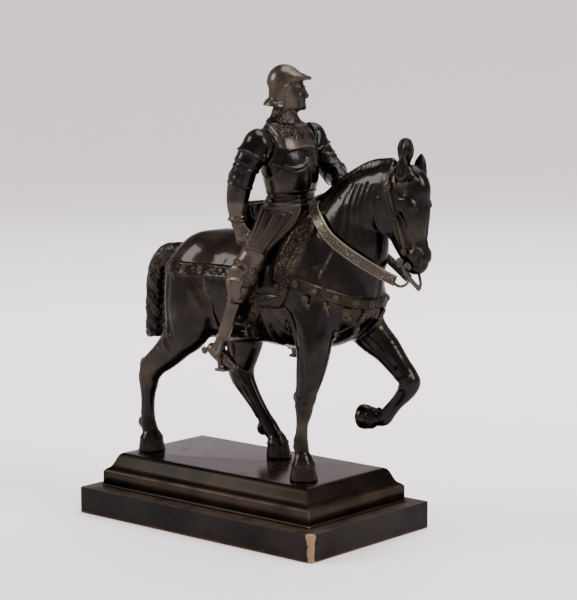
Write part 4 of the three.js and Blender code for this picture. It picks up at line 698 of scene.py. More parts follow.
def carve_head(clay):
    clay.ball((131.2, 0, 183), (9.9, 8.7, 11), 3)  # forehead
    clay.ball((127.6, 0, 187), (10, 7.6, 10.4), 3)  # poll
    clay.ball((132.4, 0, 136), (5.4, 5, 2.9), 1.5)  # lower lip
    clay.ball((127.4, 0, 136.6), (4.2, 4.6, 3.2), 2)  # chin
    for side in BOTH_SIDES:
        clay.ball((114, 6 * side, 167.5), (9.5, 4.5, 12.5), 3)  # cheek
        clay.ball((129.5, 6.4 * side, 174), (6.6, 4.4, 7.4), 2.5)  # the bone round the eye
        clay.limb(mirrored([(128, 8, 177.8, 2, 1.6), (132.8, 9, 176.6, 2.3, 2),
                            (136.8, 7.6, 173.4, 1.6, 1.4)], side), 1.6)
        clay.ball((129.6, 10.8 * side, 181.6), (3, 1.6, 2.4), 2, carve=True)  # hollow over the eye
        clay.ball((133, 9.3 * side, 172.8), (2.8, 1.8, 2.2), 0.5)  # eye
        for lid, lift in ((2.1, 0.8), (-2.1, 0.6)):
            clay.line(mirrored([(129.8, 9.8, 172.6 + lid * 0.2), (133, 11.2, 172.8 + lid),
                                (136.2, 9.2, 172 + lid * 0.3)], side), 1.05, lift)
        clay.ball((136, 4.7 * side, 143.4), (3.6, 2.6, 4.6), 2.6)  # wing of the nostril
        nostril = [(137.2, 7.7, 147.4, 0.9, 1.4), (138.8, 7.1, 144, 1.3, 1.8), (138.2, 6.4, 141.2, 0.9, 1.3)]
        clay.limb(mirrored(nostril, side), 0.8, carve=True)
        clay.line(mirrored([(135.4, 7.6, 149.6), (138.8, 6.4, 148.2), (140.8, 5, 144.6), (140, 4.6, 141)],
                           side), 1.3, 0.7)
        for points, width, height in HEAD_LINES:
            clay.side_line(side, points, width, height)
        clay.limb(mirrored(EAR, side), 1.2)
        hollow = [(128.8, 11.4, 191.6, 0.9, 1.1), (129.4, 12.2, 194.6, 1.9, 1.5),
                  (129.6, 11.6, 198.2, 1.3, 1.2), (129.4, 10.4, 201.4, 0.4, 0.5)]
        clay.limb(mirrored(hollow, side), 0.8, carve=True)
        clay.line(mirrored([(137.4, 2.6, 176), (140.5, 2.6, 160), (142, 3, 150), (141.6, 3.2, 141)], side),
                  1.3, 0.9)
    for k in range(7):  # short hair over the poll
        fan = (k - 3) * 0.34
        root = np.array([127.4, 3.4 * math.sin(fan), 197.4])
        way = np.array([math.cos(fan), math.sin(fan), 0])
        clay.line([root, root + 3.6 * way - (0, 0, 1), root + 7 * way - (0, 0, 3.6 + 0.8 * (k % 2)),
                   root + 9 * way + (0.6, 1, -6.4)], 1.25, 0.75)
    clay.line([(139.8, -4.2, 138.4), (142.4, 0, 138.8), (139.8, 4.2, 138.4)], 0.9, -0.8)


def carve_mane_and_tail(clay):
    clay.limb(MANE, 2.4)
    crest = through(MANE, 8)
    locks = 46
    for i in range(locks):
        s = (i + 0.5) / locks
        at = s * (len(crest) - 1)
        x, _, z, deep, _ = [np.interp(at, range(len(crest)), crest[:, n]) for n in range(5)]
        lean = 0.5 + 0.4 * math.sin(2.1 * i)
        for side in BOTH_SIDES:
            curl = mirrored([(x, 0.4, z + deep), (x + lean, 2.6, z + deep - 2.4),
                             (x + 0.4, 4.4, z + deep - 6), (x - 0.6 + lean, 5.6, z + deep - 8.6)], side)
            clay.line(curl, 0.8, -0.5 if i % 2 else -0.3, spans=3)
    clay.limb(FORELOCK, 1.2)
    strands = 14
    rise = [(122.2, 195, 3.4), (123.2, 199.6, 3.4), (123.7, 202.8, 4.2), (124, 206.4, 4.9),
            (124.1, 209.6, 3.8), (124.1, 211.8, 2)]
    for i in range(strands):
        turn = math.tau * i / strands
        strand = [(x + r * math.cos(turn + 0.1 * k), r * math.sin(turn + 0.1 * k), z)
                  for k, (x, z, r) in enumerate(rise)]
        clay.line(strand, 0.95, 0.85 if i % 2 else -0.7, spans=3)
    tie = [(123 + 3.6 * math.cos(t), 3.4 * math.sin(t), 199.6) for t in np.linspace(0, math.tau, 13)]
    clay.line(tie, 0.9, 0.7)
    clay.block((-86, 0, 64), (12, 12, 9.4), 0.3, carve=True)
    tress = through(TAIL, 5)
    waves = 20
    for i in range(waves):
        turn = math.tau * i / waves
        lock = []
        for k, (x, _, z, deep, wide) in enumerate(tress[3:]):
            swing = turn + 0.3 * math.sin(1.15 * k + 1.9 * i) + 0.03 * k
            ahead = unit(tress[min(k + 4, len(tress) - 1), :3] - tress[k + 2, :3])
            across = unit(np.cross(ahead, (0, 1, 0)))
            out = across * deep * math.cos(swing)
            lock.append(np.array([x, 0, z]) + out + np.array([0, wide * math.sin(swing), 0]))
        clay.along(clay.onto(lock[i % 3:], 4), bead(1.1, 0.6 if i % 2 else -0.6), spans=2)
    curls, at_the_dock = 54, 11
    for i in range(curls):  # short, all over the tail
        row = tress[6 + (i * 7) % (len(tress) - 8)]
        turn = 2.4 * i
        out = 0.6 * row[3] * math.cos(turn)
        at = row[:3] + np.array([out, row[4] * math.sin(turn), out])
        sway = 1.6 if i % 2 else -1.6
        curl = [at, at + (0.4, sway, -2), at + (0, 0.2 * sway, -4.4), at + (-0.4, -0.6 * sway, -6)]
        clay.line(curl, 0.9, 0.8 if i % 3 else -0.8, spans=2)
    for i in range(at_the_dock):
        turn = math.tau * i / at_the_dock
        start = np.array([-72 - 0.5 * i, 6.4 * math.sin(turn), 130 + 6.4 * math.cos(turn)])
        curl = [start, start + (-4, 1.6 * math.cos(turn), -1), start + (-7, 2.4 * math.cos(turn), -5)]
        clay.line(curl, 1.1, 0.6)


def carve_hooves(clay):
    # the raised hoof ends in a flat sole, hollowed inside the wall, with the frog in it
    part, x, y, z = clay.window((70, 6, 24), (90, 30, 48))
    sole = 77.2 - 0.12 * (z - 36)
    np.maximum(clay.field[part], sole - x, out=clay.field[part])
    clay.ball((76.2, 18, 36.4), (2.2, 5.6, 5.8), 0.8, carve=True)
    clay.limb([(78, 18, 41.5, 1.6, 2.4), (77.8, 18, 37, 1.4, 1.4), (77.8, 18, 34.6, 0.9, 0.6)], 0.6)
    for place, down in HOOVES:
        place, down = np.array(place), unit(down)

        def coronet(px, py, pz):
            s = (px - place[0]) * down[0] + (py - place[1]) * down[1] + (pz - place[2]) * down[2]
            shaggy = 0.5 * np.sin(1.9 * px + 0.7 * pz) * np.sin(2.1 * py + 0.5 * pz)
            hair = (0.55 + 0.4 * shaggy) * peak(s - 0.4, 1.6)
            rings = 0.12 * np.sin(s * 2.4) * ramp(s, 2.2, 3.6)
            return hair + rings

        clay.raise_in(place - 10, place + 10, coronet)
    # the pads behind the fetlocks
    for centre, radius in (((58.6, -23.2, 20.5), 2.4), ((-76.2, -22, 18.8), 4), ((-4.8, 17, 17.8), 4.4),
                           ((91, 18, 41.2), 2.2)):
        clay.ball(centre, (radius, radius * 0.9, radius * 1.1), 1.6)
    # the points of the hocks, and the knees
    for centre, radii in (((-75.4, -22, 57.5), (3, 2.6, 5)), ((-34.6, 17, 60), (3, 2.6, 4.8)),
                          ((60, -22.8, 52.5), (3, 4.6, 3.8)), ((68.6, -23.2, 52), (3, 5.6, 4.6)),
                          ((117.4, 18, 62.5), (3, 5.4, 4.6)), ((110.4, 18, 68.4), (3.6, 5.6, 4))):
        clay.ball(centre, radii, 2)


def carve_saddle(clay):
    clay.limb([(4, 0, 146, 5, 17), (20, 0, 146, 6.5, 18), (36, 0, 148, 6.5, 17), (49, 0, 151, 6.5, 14)], 2)
    # the cantle: a curved shell open to the front, with a flat rolled top
    clay.ball((11.6, 0, 150), (13, 18.4, 28), 0.8, trim=lambda x, y, z: np.maximum(x - 8.2, z - 167.6))
    clay.ball((17, 0, 165), (12, 13.6, 12), 1, carve=True)
    rim = [(8, -14.4, 166.8), (4, -12.6, 167.6), (2.6, -7, 168), (2.2, 0, 168), (2.6, 7, 168),
           (4, 12.6, 167.6), (8, 14.4, 166.8)]
    clay.limb([(*p, 1.3, 1.3) for p in rim], 0.5)
    pommel = [(52, -13, 153), (52.6, -8, 162), (52.4, 0, 166.5), (52.6, 8, 162), (52, 13, 153)]
    clay.limb([(*p, 2.6, 2.6) for p in pommel], 1.2)

    def cloth(x, y, z):
        edge = saddle_cloth_edge(x, z)
        rib = peak(edge - 0.9, 0.8) + 0.8 * peak(edge - 7.2, 0.8)
        inner = peak(edge - 12.5, 0.8) * ramp(134 - z, 0, 4)
        band = ramp(edge, 1.6, 2.2) * ramp(6.6 - edge, 0, 0.6)
        return 1.8 * ramp(edge, -0.4, 0.4) + 0.8 * rib + 0.5 * inner + grained(x, z) * band

    clay.raise_in((20, -40, 104), (76, 40, 166), cloth)
    for side in BOTH_SIDES:
        clay.along(clay.drop(side, SADDLE_LEATHER), strap(8.6, 1.9, 0.6))
        leather_x, leather_z = zip(*SADDLE_LEATHER[::-1])

        def granular(x, y, z):
            line = np.interp(z, leather_z, leather_x)
            ends = ramp(z - leather_z[0], 0, 1) * ramp(y * side, 10, 14)
            return grained(x, z) * ramp(3.1 - np.abs(x - line), 0, 0.5) * ends

        clay.raise_beside(side, (40, 8, 124), (68, 42, 163), granular)
        clay.along(clay.drop(side, CLOTH_TAB), strap(8.2, 1.4, 0.5))
        clay.along(clay.drop(side, GIRTH), strap(8, 0.9, 0.35))
        clay.side_line(side, [(41, 105), (46, 96), (51, 90)], 0.9, -0.5)


def carve_straps(clay):
    def band(away, half):
        return ramp(half - np.abs(away), -0.35, 0.35)

    def breast(x, y, z):
        away = z - breast_strap_height(x)
        return 0.9 * band(away, 3.4) + 0.35 * peak(np.abs(away) - 2.6, 0.7)

    def crupper(x, y, z):
        away = z - crupper_height(x)
        plates = np.abs(((x + 66) % 19) - 9.5)
        frame_line = peak(plates - 8.6, 0.6) * band(away, 3)
        edge = peak(np.abs(away) - 3.1, 0.7)
        scroll = 0.3 * np.sin(0.9 * (x + 66)) * np.cos(1.1 * away) * band(away, 2.2)
        return 0.7 * band(away, 4) + 0.45 * edge + 0.4 * frame_line + scroll

    clay.raise_in((57, -42, 100), (118, 42, 140), breast)
    clay.raise_in((-76, -42, 112), (7, 42, 138), crupper)
    for side in BOTH_SIDES:
        for points, width in BRIDLE:
            clay.along(clay.drop(side, points), strap(width, 0.75, 0.35, 0.5))


# The head looks to the left of the way the horse goes; the face lies a little forward in the helmet
GAZE = Place((29.5, 0, 240), turn=38)
FACE = Place((32.1, 2, 240), turn=38)
# The corners, in order, of the plate that hangs over a thigh
TASSET = [(25.5, 18, 167.4), (46.5, 13.5, 165.4), (38.9, 32, 139.4), (28.6, 38, 143.6)]


def carve_rider():
    clay = Clay(*RIDER_BLOCK, RIDER_STEP * 2)
    clay.limb(TORSO, 0)
    clay.limb(THROAT, 4)
    clay.limb(RESTING_ARM, 2.5)
    clay.limb(REIN_ARM, 2.5)
    for side in BOTH_SIDES:
        clay.limb(mirrored(LEG, side), 4)
        level, _ = flat_between(mirrored(TASSET, side))
        clay.limb(mirrored(SKIRT, side), 3, trim=level)
        clay.limb(mirrored(FOOT, side), 2)
    clay = clay.finer()
    carve_face(clay)
    carve_helmet(clay)
    carve_cuirass(clay)
    carve_arms(clay)
    carve_skirt(clay)
    carve_leg_plates(clay)
    carve_hands(clay)
    carve_stirrups(clay)
    return clay


def carve_face(clay):
    def limb(rows, blend, carve=False):
        clay.limb(rows, blend, place=FACE, carve=carve)

    def ball(centre, radii, blend, carve=False):
        clay.ball(centre, radii, blend, place=FACE, carve=carve)

    ball((0.2, 0, -1), (8.6, 7.2, 11.5), 2)
    ball((3.4, 0, -7.4), (5.6, 5, 5.4), 2.4)
    for side in BOTH_SIDES:
        ball((5.4, 4.1 * side, -4.2), (2.2, 1.8, 2.2), 1.8)  # cheek
        ball((8.5, 2.9 * side, -0.5), (1.3, 1.9, 1.1), 0.9, carve=True)  # eye socket
        limb(mirrored([(8.5, 0.9, 1.5, 0.7, 0.6), (8.4, 2.8, 1.9, 0.75, 0.6), (7, 5, 1.1, 0.6, 0.6)], side),
             0.8)
        ball((7.3, 2.9 * side, -0.6), (0.95, 1.1, 0.85), 0.15)
    limb([(8.2, 0, 1, 0.8, 0.7), (9.4, 0, -1.6, 1, 0.85), (10.2, 0, -3.6, 1.15, 0.95),
          (9.6, 0, -4.5, 0.9, 0.9)], 0.7)
    for side in BOTH_SIDES:
        ball((9.2, 0.95 * side, -4.1), (0.9, 0.6, 0.6), 0.4)  # wing of the nose
        limb(mirrored([(9, 1.7, -4.8, 0.3, 0.3), (8.2, 2.6, -6.4, 0.3, 0.3)], side), 0.5, carve=True)
    limb([(8, -1.9, -7, 0.3, 0.4), (8.9, -0.8, -6.7, 0.6, 0.5), (9, 0, -6.8, 0.55, 0.5),
          (8.9, 0.8, -6.7, 0.6, 0.5), (8, 1.9, -7, 0.3, 0.4)], 0.4)
    limb([(8, -1.6, -7.8, 0.4, 0.4), (8.8, 0, -8.1, 0.75, 0.6), (8, 1.6, -7.8, 0.4, 0.4)], 0.4)
    clay.along(FACE.lay(((8.1, -1.9, -7.3), (9.3, 0, -7.4), (8.1, 1.9, -7.3))), bead(0.55, -0.55))
    ball((7.9, 0, -10.4), (1.7, 2.1, 1.6), 1.2)
    for side in BOTH_SIDES:
        for lift, rise in ((0.75, 0.4), (-0.75, 0.3)):
            lid = FACE.lay(((7.9, 1.8 * side, -0.6), (8.4, 2.9 * side, -0.6 + lift), (7.5, 4.1 * side, -0.6)))
            clay.line(lid, 0.5, rise)


def face_edge(u, v, w):
    """How far a point of the helmet is past the edge that frames the face, and below its hem."""
    opening = np.minimum(6.4 - w, u - 5.6 - 0.45 * (w - 3.6))
    hem = -10.2 - 0.06 * u - w
    return np.maximum(opening, hem)


def carve_helmet(clay):
    clay.ball((-0.8, 0, 4.6), (10.6, 9.6, 11), 0.3, place=GAZE, trim=face_edge)
    wall = [(-1.4, 0, 4, 9.4, 9.5), (-3.2, 0, -1, 7.6, 9.2), (-4.8, 0, -5.5, 6.2, 8.6),
            (-5.8, 0, -8.6, 6.4, 8.6), (-6.2, 0, -10.4, 7.4, 9.6), (-6.4, 0, -12, 8.8, 11)]
    clay.limb(wall, 0.3, place=GAZE, trim=face_edge)
    # the peak, thick where it leaves the bowl
    clay.limb([(5.4, 0, 7.8, 4.2, 9), (9, 0, 8, 3, 7.8), (12, 0, 7.8, 2, 5.8), (14.4, 0, 7.4, 1.3, 3.4),
               (15.6, 0, 7.1, 0.8, 1.6)], 1.5, place=GAZE)
    # the comb, low, over the middle of the bowl
    comb = [(-0.8 + 10.6 * math.sin(a), 0, 4.6 + 11 * math.cos(a)) for a in np.radians(range(-92, 74, 12))]
    clay.along(GAZE.lay(comb), bead(1.5, 0.95), spans=2)
    for side in BOTH_SIDES:
        frame_edge = mirrored([(8.4, 6.2, 6.6), (6.2, 8.4, 5.4), (4.2, 9.2, 1.6), (2.2, 9, -3),
                               (0.6, 8.6, -7), (-1.4, 8.8, -9.6)], side)
        clay.line(GAZE.lay(frame_edge), 0.9, 0.6)
        inner = mirrored([(6.6, 7.8, 7.6), (4.4, 9, 6.2), (2.2, 9.4, 1.8), (0.2, 9, -3), (-1.6, 8.6, -7)],
                         side)
        clay.line(GAZE.lay(inner), 0.55, -0.4)
        clay.line(GAZE.lay(((8, 7.8 * side, 8.6), (12, 5.4 * side, 8.6), (15, 2 * side, 8))), 1.1, 0.6)
        hem = mirrored([(-0.6, 8.8, -9.6), (-4, 9.4, -9.6), (-8.6, 8.4, -9.6), (-12, 4.6, -9.6),
                        (-13, 0, -9.6)], side)
        clay.line(GAZE.lay(hem), 0.9, 0.6)
        clay.line([GAZE.out((p[0] * 0.94, p[1] * 0.97, -7.4)) for p in hem], 0.5, -0.35)


def carve_cuirass(clay):
    # breastplate: a soft middle ridge, and the upper edge of the plate that is strapped over its lower half
    clay.line([(48.5, 0, 181), (50, 0, 190), (48.5, 0, 198)], 2.6, 0.9)
    for side in BOTH_SIDES:
        over = mirrored([(49.4, 0, 197.5), (48.6, 4.4, 194), (46, 10, 192.2), (41, 15, 193.5),
                         (36, 18, 196)], side)
        clay.line(over, 1.0, 0.75)
        clay.line([(p[0], p[1], p[2] - 1.7) for p in over], 0.6, -0.35)
        front = mirrored([(41.4, 14, 207), (43.8, 15.6, 200), (41, 17.2, 192), (33.4, 18.4, 186)], side)
        back = mirrored([(18, 13, 208), (16.6, 15, 198), (21, 17, 190), (30, 18.4, 186)], side)
        for edge in (front, back):
            clay.line(edge, 1.2, 0.8)
        blade = mirrored([(19.4, 6, 204), (17.6, 8, 196), (19, 8.4, 188)], side)
        clay.line(blade, 2.6, 0.5)
        clay.line(mirrored([(17.6, 0.4, 206), (16.4, 0.4, 196), (18.4, 0.4, 184)], side), 1.2, -0.5)
        # the shoulder straps over the upper chest, in three ribs
        for n in range(3):
            rib = mirrored([(37 + n * 0.4, 8.6 + 1.9 * n, 214.6), (42 + n * 0.2, 9 + 2.1 * n, 209.6),
                            (46 - n * 0.8, 8.8 + 2.1 * n, 204.4)], side)
            clay.line(rib, 0.85, 0.6)

    def bib(x, y, z):
        hem = 204.6 - 0.012 * y * y
        s = z - hem
        reach = ramp(15 - np.abs(y), 0, 1) * ramp(x - 30, 0, 2) * ramp(219 - z, 0, 1)
        return (0.75 * ramp(s, -0.3, 0.3) + 0.6 * peak(s - 0.9, 0.7)) * reach

    clay.raise_in((28, -17, 200), (56, 17, 220), bib)

    def hoops(x, y, z):
        out = 0
        for level in (177.2, 174.2, 171.2, 168.4):
            s = z - level - 0.004 * (x - 32) * np.abs(x - 32)
            out = out + 0.3 * ramp(-s, -0.3, 0.3) * ramp(s, -2.8, 0) + 0.4 * peak(s + 0.5, 0.5)
        return out * ramp(24 - np.abs(y), 0, 2)

    clay.raise_in((10, -24, 163), (56, 24, 181), hoops)

    def mail(x, y, z):
        rows = np.sin(math.tau * z / 1.7)
        round_it = np.arctan2(y, x - 29) * 10
        links = np.sin(math.tau * (round_it / 1.9 + 0.5 * np.floor(z / 1.7)))
        return (0.35 + 0.3 * rows * links) * ramp(230 - z, 0, 2) * ramp(z - 213 + 0.2 * (x - 28), 0, 1.5)

    clay.raise_in((12, -17, 208), (48, 17, 231), mail)
    clay.raise_in((10, -18, 210), (50, 18, 226),
                  lambda x, y, z: 0.9 * hump(z - 220.4 + 0.2 * (x - 28), 1.3))


def carve_arms(clay):
    for side, rows in ((-1, RESTING_ARM), (1, REIN_ARM)):
        shoulder, upper, low, elbow, past = rows[:5]
        wrist = rows[-1]
        clay.ball((26.4, side * 16.4, 209.8), (8.6, 9, 6.6), 2)
        clay.ball((shoulder[0] - 0.6, side * 25.2, 208.2 if side > 0 else 205.6), (9.8, 8.4, 11), 1.2)
        # pauldron: smooth, its lower edge rimmed, with a roped seam at the top
        clay.lame(upper, low, 0.15, 12.5, 0.8, 7)
        clay.cuff(upper, low, 0.13, 12, 0.5)
        seam = mirrored([(20, 22, 211), (24, 24.6, 214.6), (30, 24, 215.6), (36.6, 20.6, 211.6),
                         (39, 17.6, 206)], side)
        clay.along(clay.onto(seam), rope(1.1, 0.9, 1.9))
        clay.line([(p[0], p[1] + side * 1.6, p[2] - 1.6) for p in seam], 0.6, -0.35)
        clay.lame(upper, low, 0.98, 9.4, 0.5, 4)
        clay.cuff(upper, low, 0.96, 9.4, 0.45)
        # couter: a smooth cup with a rim above and below, and a small wing
        clay.ball((elbow[0] - 1.6, elbow[1] + side * 1.2, elbow[2]), (7, 6.6, 6.6), 0.9)
        clay.cuff(low, elbow, 0.2, 9.6, 0.7)
        clay.cuff(elbow, past, 0.7, 9.2, 0.7)
        wing = (elbow[0] + 1.4, elbow[1] + side * 6.6, elbow[2] + 0.2)
        clay.ball(wing, (4.6, 1.2, 4.8), 0.6)
        rim = [(wing[0] + 4 * math.cos(t), wing[1], wing[2] + 4.2 * math.sin(t)) for t in CLOSED]
        clay.line(rim, 0.7, 0.45, spans=2)
        # vambrace: shallow flutes all round, and a rimmed cuff
        top, end = np.array(past[:3], float), np.array(wrist[:3], float)
        ahead = unit(end - top)
        one = unit(np.cross(ahead, (0.3, 0.2, 1)))
        two = np.cross(ahead, one)
        for turn in range(0, 360, 60):
            t = math.radians(turn + 10)
            away = one * math.cos(t) + two * math.sin(t)
            flute = [top + (end - top) * s + away * (6 - 1.4 * s) for s in (0.3, 0.55, 0.84)]
            clay.line(flute, 1.0, -0.3)
        clay.lame(past, wrist, 0.97, 7.6, 0.9, 3)


def carve_skirt(clay):
    """The plates that hang over the thighs: flat, with a double border."""
    for side in BOTH_SIDES:
        corners = mirrored(TASSET, side)
        clay.panel(corners, 2.6, ((0.9, 0.8, 0.6), (3.4, 0.6, 0.4)))
        top, low = [(np.array(corners[a]) + corners[b]) / 2 for a, b in ((0, 1), (2, 3))]
        clay.line([top + (low - top) * share for share in (0.16, 0.5, 0.84)], 1.2, 0.55)
    # behind, three hanging lames over the seat
    for level, height in ((170, 0.7), (164.5, 0.7), (159, 0.6)):
        def hang(x, y, z):
            s = z - level - 0.01 * y * y
            fade = ramp(s, -5, 0)
            return height * ramp(-s, -0.3, 0.3) * fade * ramp(30 - x, 0, 3) * ramp(19 - np.abs(y), 0, 2)

        clay.raise_in((12, -22, level - 10), (34, 22, level + 6), hang)


def carve_leg_plates(clay):
    for side in BOTH_SIDES:
        thigh = mirrored(LEG, side)
        # the thigh plate's last border over the knee, then the knee cup and the fan of small plates under it
        clay.lame(thigh[2], thigh[3], 1.1, 11.5, 0.8, 4)
        clay.cuff(thigh[2], thigh[3], 1.05, 11, 0.5)
        knee = np.array((25.4, side * 33, 126))
        clay.ball(knee, (8.6, 7.8, 7.6), 1.0)
        wing = knee + (-2.6, side * 7, -0.4)
        clay.ball(wing, (6.4, 1.5, 6.8), 0.7)
        clay.line([wing + (5.6 * math.cos(t), 0, 6 * math.sin(t)) for t in CLOSED], 0.8, 0.55, spans=2)
        clay.line([knee + (3, side * 7, 6.4), knee + (9, side * 4, 0), knee + (5, side * 7, -6)], 1.1, 0.6)

        def fan(x, y, z):
            bottom = 108.4 + 0.9 * np.abs(np.sin(math.pi * (x - 17) / 3.6))
            back, front = x - (13.6 + 0.36 * (122 - z)), 31 - 0.1 * (124 - z) - x
            inside = np.minimum(np.minimum(back, front), z - bottom)
            return 1.1 * ramp(inside, -0.3, 0.4) * ramp(y * side, 30, 32) * ramp(125 - z, 0, 1)

        clay.raise_beside(side, (10, 28, 105), (36, 48, 127), fan)
        ribs = 6
        for k in range(ribs):
            s = k / (ribs - 1)
            top = np.array((15.4 + 12.6 * s, side * 42, 121 + 2.6 * s))
            low = np.array((19.2 + 9.4 * s, side * 41, 108.6 + 1.6 * s))
            clay.line([top, (top + low) / 2, low], 0.85, 1.0)

        def links(x, y, z):
            grain = staggered(z / 1.7, (x - y * side) / 1.9)
            inside = np.minimum(np.minimum(x - (27.6 + 0.5 * (z - 126)), z - 119), 133 - z)
            return (0.5 + 0.5 * grain) * ramp(inside, 0, 1)

        clay.raise_beside(side, (20, 20, 117), (44, 42, 135), links)
        clay.lame(thigh[4], thigh[5], 1.5, 9.6, 0.7, 3)
        clay.cuff(thigh[4], thigh[5], 1.48, 9, 0.45)
        ridge = mirrored([(20.2, 35.6, 107), (16, 35.2, 97), (11.6, 34.8, 88), (8.2, 34.6, 82)], side)
        clay.line(ridge, 1.5, 1)
        seam = mirrored([(12.6, 39.4, 104), (8.2, 38.6, 94), (4.6, 37.6, 85)], side)
        clay.line(seam, 0.7, -0.45)
        clay.lame(thigh[7], thigh[8], 0.9, 6.6, 0.7, 2.4)
        foot = mirrored(FOOT, side)
        for start, end, share in ((0, 1, 0.55), (1, 2, 0), (1, 2, 0.4), (1, 2, 0.8), (2, 3, 0.2),
                                  (2, 3, 0.6)):
            clay.lame(foot[start], foot[end], share, 6.6, 0.4, 2.2)
        heel = mirrored([(-5.4, 33.4, 80.4), (-6.4, 33.4, 77), (-5.4, 33.4, 74)], side)
        clay.line(heel, 1, 0.5)


def carve_hands(clay):
    clay.limb([(18.6, -32.5, 160, 4.2, 3.4), (19.6, -32.4, 155, 4.8, 3), (21.4, -32, 150.5, 4.4, 2.6)], 1.2)
    for i in range(4):
        x = 18 + 2.5 * i
        finger = [(x, -32.6, 151.4, 1.3, 1.35), (x + 0.8, -32.8, 148.4, 1.2, 1.25),
                  (x + 1.3, -31.4, 145.4, 1.15, 1.2), (x + 1.6, -29.8, 143.2, 1, 1)]
        clay.limb(finger, 0.35)
        for row in finger[:2]:
            clay.lame(row, finger[2], 0.25, 3.4, 0.28, 1.2)
    clay.limb([(23.6, -32, 156, 1.4, 1.4), (26.4, -31, 152.6, 1.3, 1.3), (27.4, -29.6, 150, 1.1, 1.1)], 0.7)
    clay.lame((18.6, -32.5, 161), (19.6, -32.4, 155), 0.1, 7, 0.8, 2)
    clay.lame((18.6, -32.5, 161), (19.6, -32.4, 155), 0.75, 6, 0.5, 2)
    clay.limb([(58.4, 19.2, 181.8, 4.4, 4), (61.6, 16, 180, 4.6, 4.2), (63.6, 13.6, 178.4, 4, 4)], 1.2)
    for i in range(4):
        z = 181.4 - 2.3 * i
        clay.limb([(62.5, 16.6, z, 1.35, 1.3), (66.6, 14.4, z - 0.3, 1.3, 1.3),
                   (66, 11, z - 0.5, 1.2, 1.2)], 0.35)
    clay.limb([(62, 12.6, 182, 1.5, 1.4), (65, 11.4, 182.6, 1.3, 1.2)], 0.6)


def carve_stirrups(clay):
    for side in BOTH_SIDES:
        arch = [(10, 40.6, 66), (9.4, 41, 74), (8.4, 37.6, 81.5), (7.4, 34, 84), (8.4, 31, 81),
                (9.6, 31.2, 66)]
        clay.limb([(*p, 1.5, 1.0) for p in mirrored(arch, side)], 0.4)
        clay.block((10, side * 35.9, 65.6), (4.4, 5.6, 1.0), 0.4, rounding=0.8)
        clay.limb([(*p, 1.1, 2.2) for p in mirrored([(7.4, 34, 84), (7.6, 33.8, 88.6)], side)], 0.5)
        clay.limb(mirrored([(-4, 33.4, 77, 2.2, 2.2), (-9, 33.4, 75.6, 1.3, 1.3)], side), 0.8)
        spur = np.array((-10, side * 33.4, 75.2))
        clay.ball(spur, (2.4, 0.9, 2.4), 0.3)
        for t in circle(8):
            point = spur + (2.9 * math.cos(t), 0, 2.9 * math.sin(t))
            clay.limb([(*spur, 0.9, 0.8), (*point, 0.35, 0.35)], 0.2)


# From parts to metres, and pieces as Blender objects
def metres(points):
    """From parts above the plinth to metres."""
    return np.asarray(points, float) * PART + (0, 0, PLINTH_TOP)


def linked(name, data):
    """A new object in the scene."""
    obj = bpy.data.objects.new(name, data)
    bpy.context.collection.objects.link(obj)
    return obj


def smooth_mesh(name, points, faces):
    """A mesh from points and faces of any number of corners."""
    mesh = bpy.data.meshes.new(name)
    mesh.from_pydata(points.tolist(), [], faces)
    return mesh


def square_mesh(name, points, faces):
    """A mesh from many points and four-sided faces."""
    mesh = bpy.data.meshes.new(name)
    faces = np.asarray(faces, np.int32)
    mesh.vertices.add(len(points))
    mesh.vertices.foreach_set("co", np.ravel(points).astype(np.float32))
    mesh.loops.add(faces.size)
    mesh.loops.foreach_set("vertex_index", faces.ravel())
    mesh.polygons.add(len(faces))
    mesh.polygons.foreach_set("loop_start", np.arange(len(faces)) * faces.shape[1])
    mesh.update(calc_edges=True)
    return mesh


def surfaced(mesh, material):
    """The same mesh, smooth all over and in one material."""
    mesh.validate()
    mesh.polygons.foreach_set("use_smooth", [True] * len(mesh.polygons))
    mesh.materials.append(material)
    return mesh


def piece(name, mesh, material, stands_for):
    """An object at the origin, with its points in metres, that rides on the one body."""
    obj = linked(name, surfaced(mesh, material))
    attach(obj, "root")
    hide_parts(stands_for)
    return obj


def thinned(obj):
    """The same object with no more triangles than a figure may have."""
    held = sum(len(p.vertices) - 2 for p in obj.data.polygons)
    if held > MOST_TRIANGLES:
        fewer = obj.modifiers.new("Fewer", "DECIMATE")
        fewer.ratio = MOST_TRIANGLES / held
        fewer.use_collapse_triangulate = True
        graph = bpy.context.evaluated_depsgraph_get()
        mesh = bpy.data.meshes.new_from_object(obj.evaluated_get(graph))
        obj.modifiers.clear()
        old, obj.data = obj.data, mesh
        bpy.data.meshes.remove(old)
    return obj


def note_on(obj, values):
    """Keeps one number a point, by name, for the materials to read."""
    for name, numbers in values.items():
        kept = obj.data.attributes.new(name, "FLOAT", "POINT")
        kept.data.foreach_set("value", np.asarray(numbers, np.float32))


def relief(clay, points, reach):
    """How hollow and how edge-like the surface is at points on it."""
    out = clay.slope(points, 1.2)
    hollow = clay.value(points + out * reach) / reach
    edge = -clay.value(points - out * reach) / reach
    return np.clip(1 - hollow, 0, 1), np.clip(1 - edge, 0, 1)


def figure(name, clay, material, masks, reach):
    """A carved figure as a mesh, with notes of where it is hollow, edged, gold-toned and grained: on the
    horse the gold tone marks its harness, on the rider it is partly painted light and shade.
    """
    points, faces = clay.surface()
    mesh = square_mesh(name, metres(points), faces)
    obj = thinned(piece(name, mesh, material, name.removesuffix("_form")))
    flat = np.empty(len(obj.data.vertices) * 3, np.float32)
    obj.data.vertices.foreach_get("co", flat)
    held = (flat.reshape(-1, 3) - (0, 0, PLINTH_TOP)) / PART
    hollow, edge = relief(clay, held, reach)
    note_on(obj, {"hollow": hollow, "edge": edge, **masks(held)})


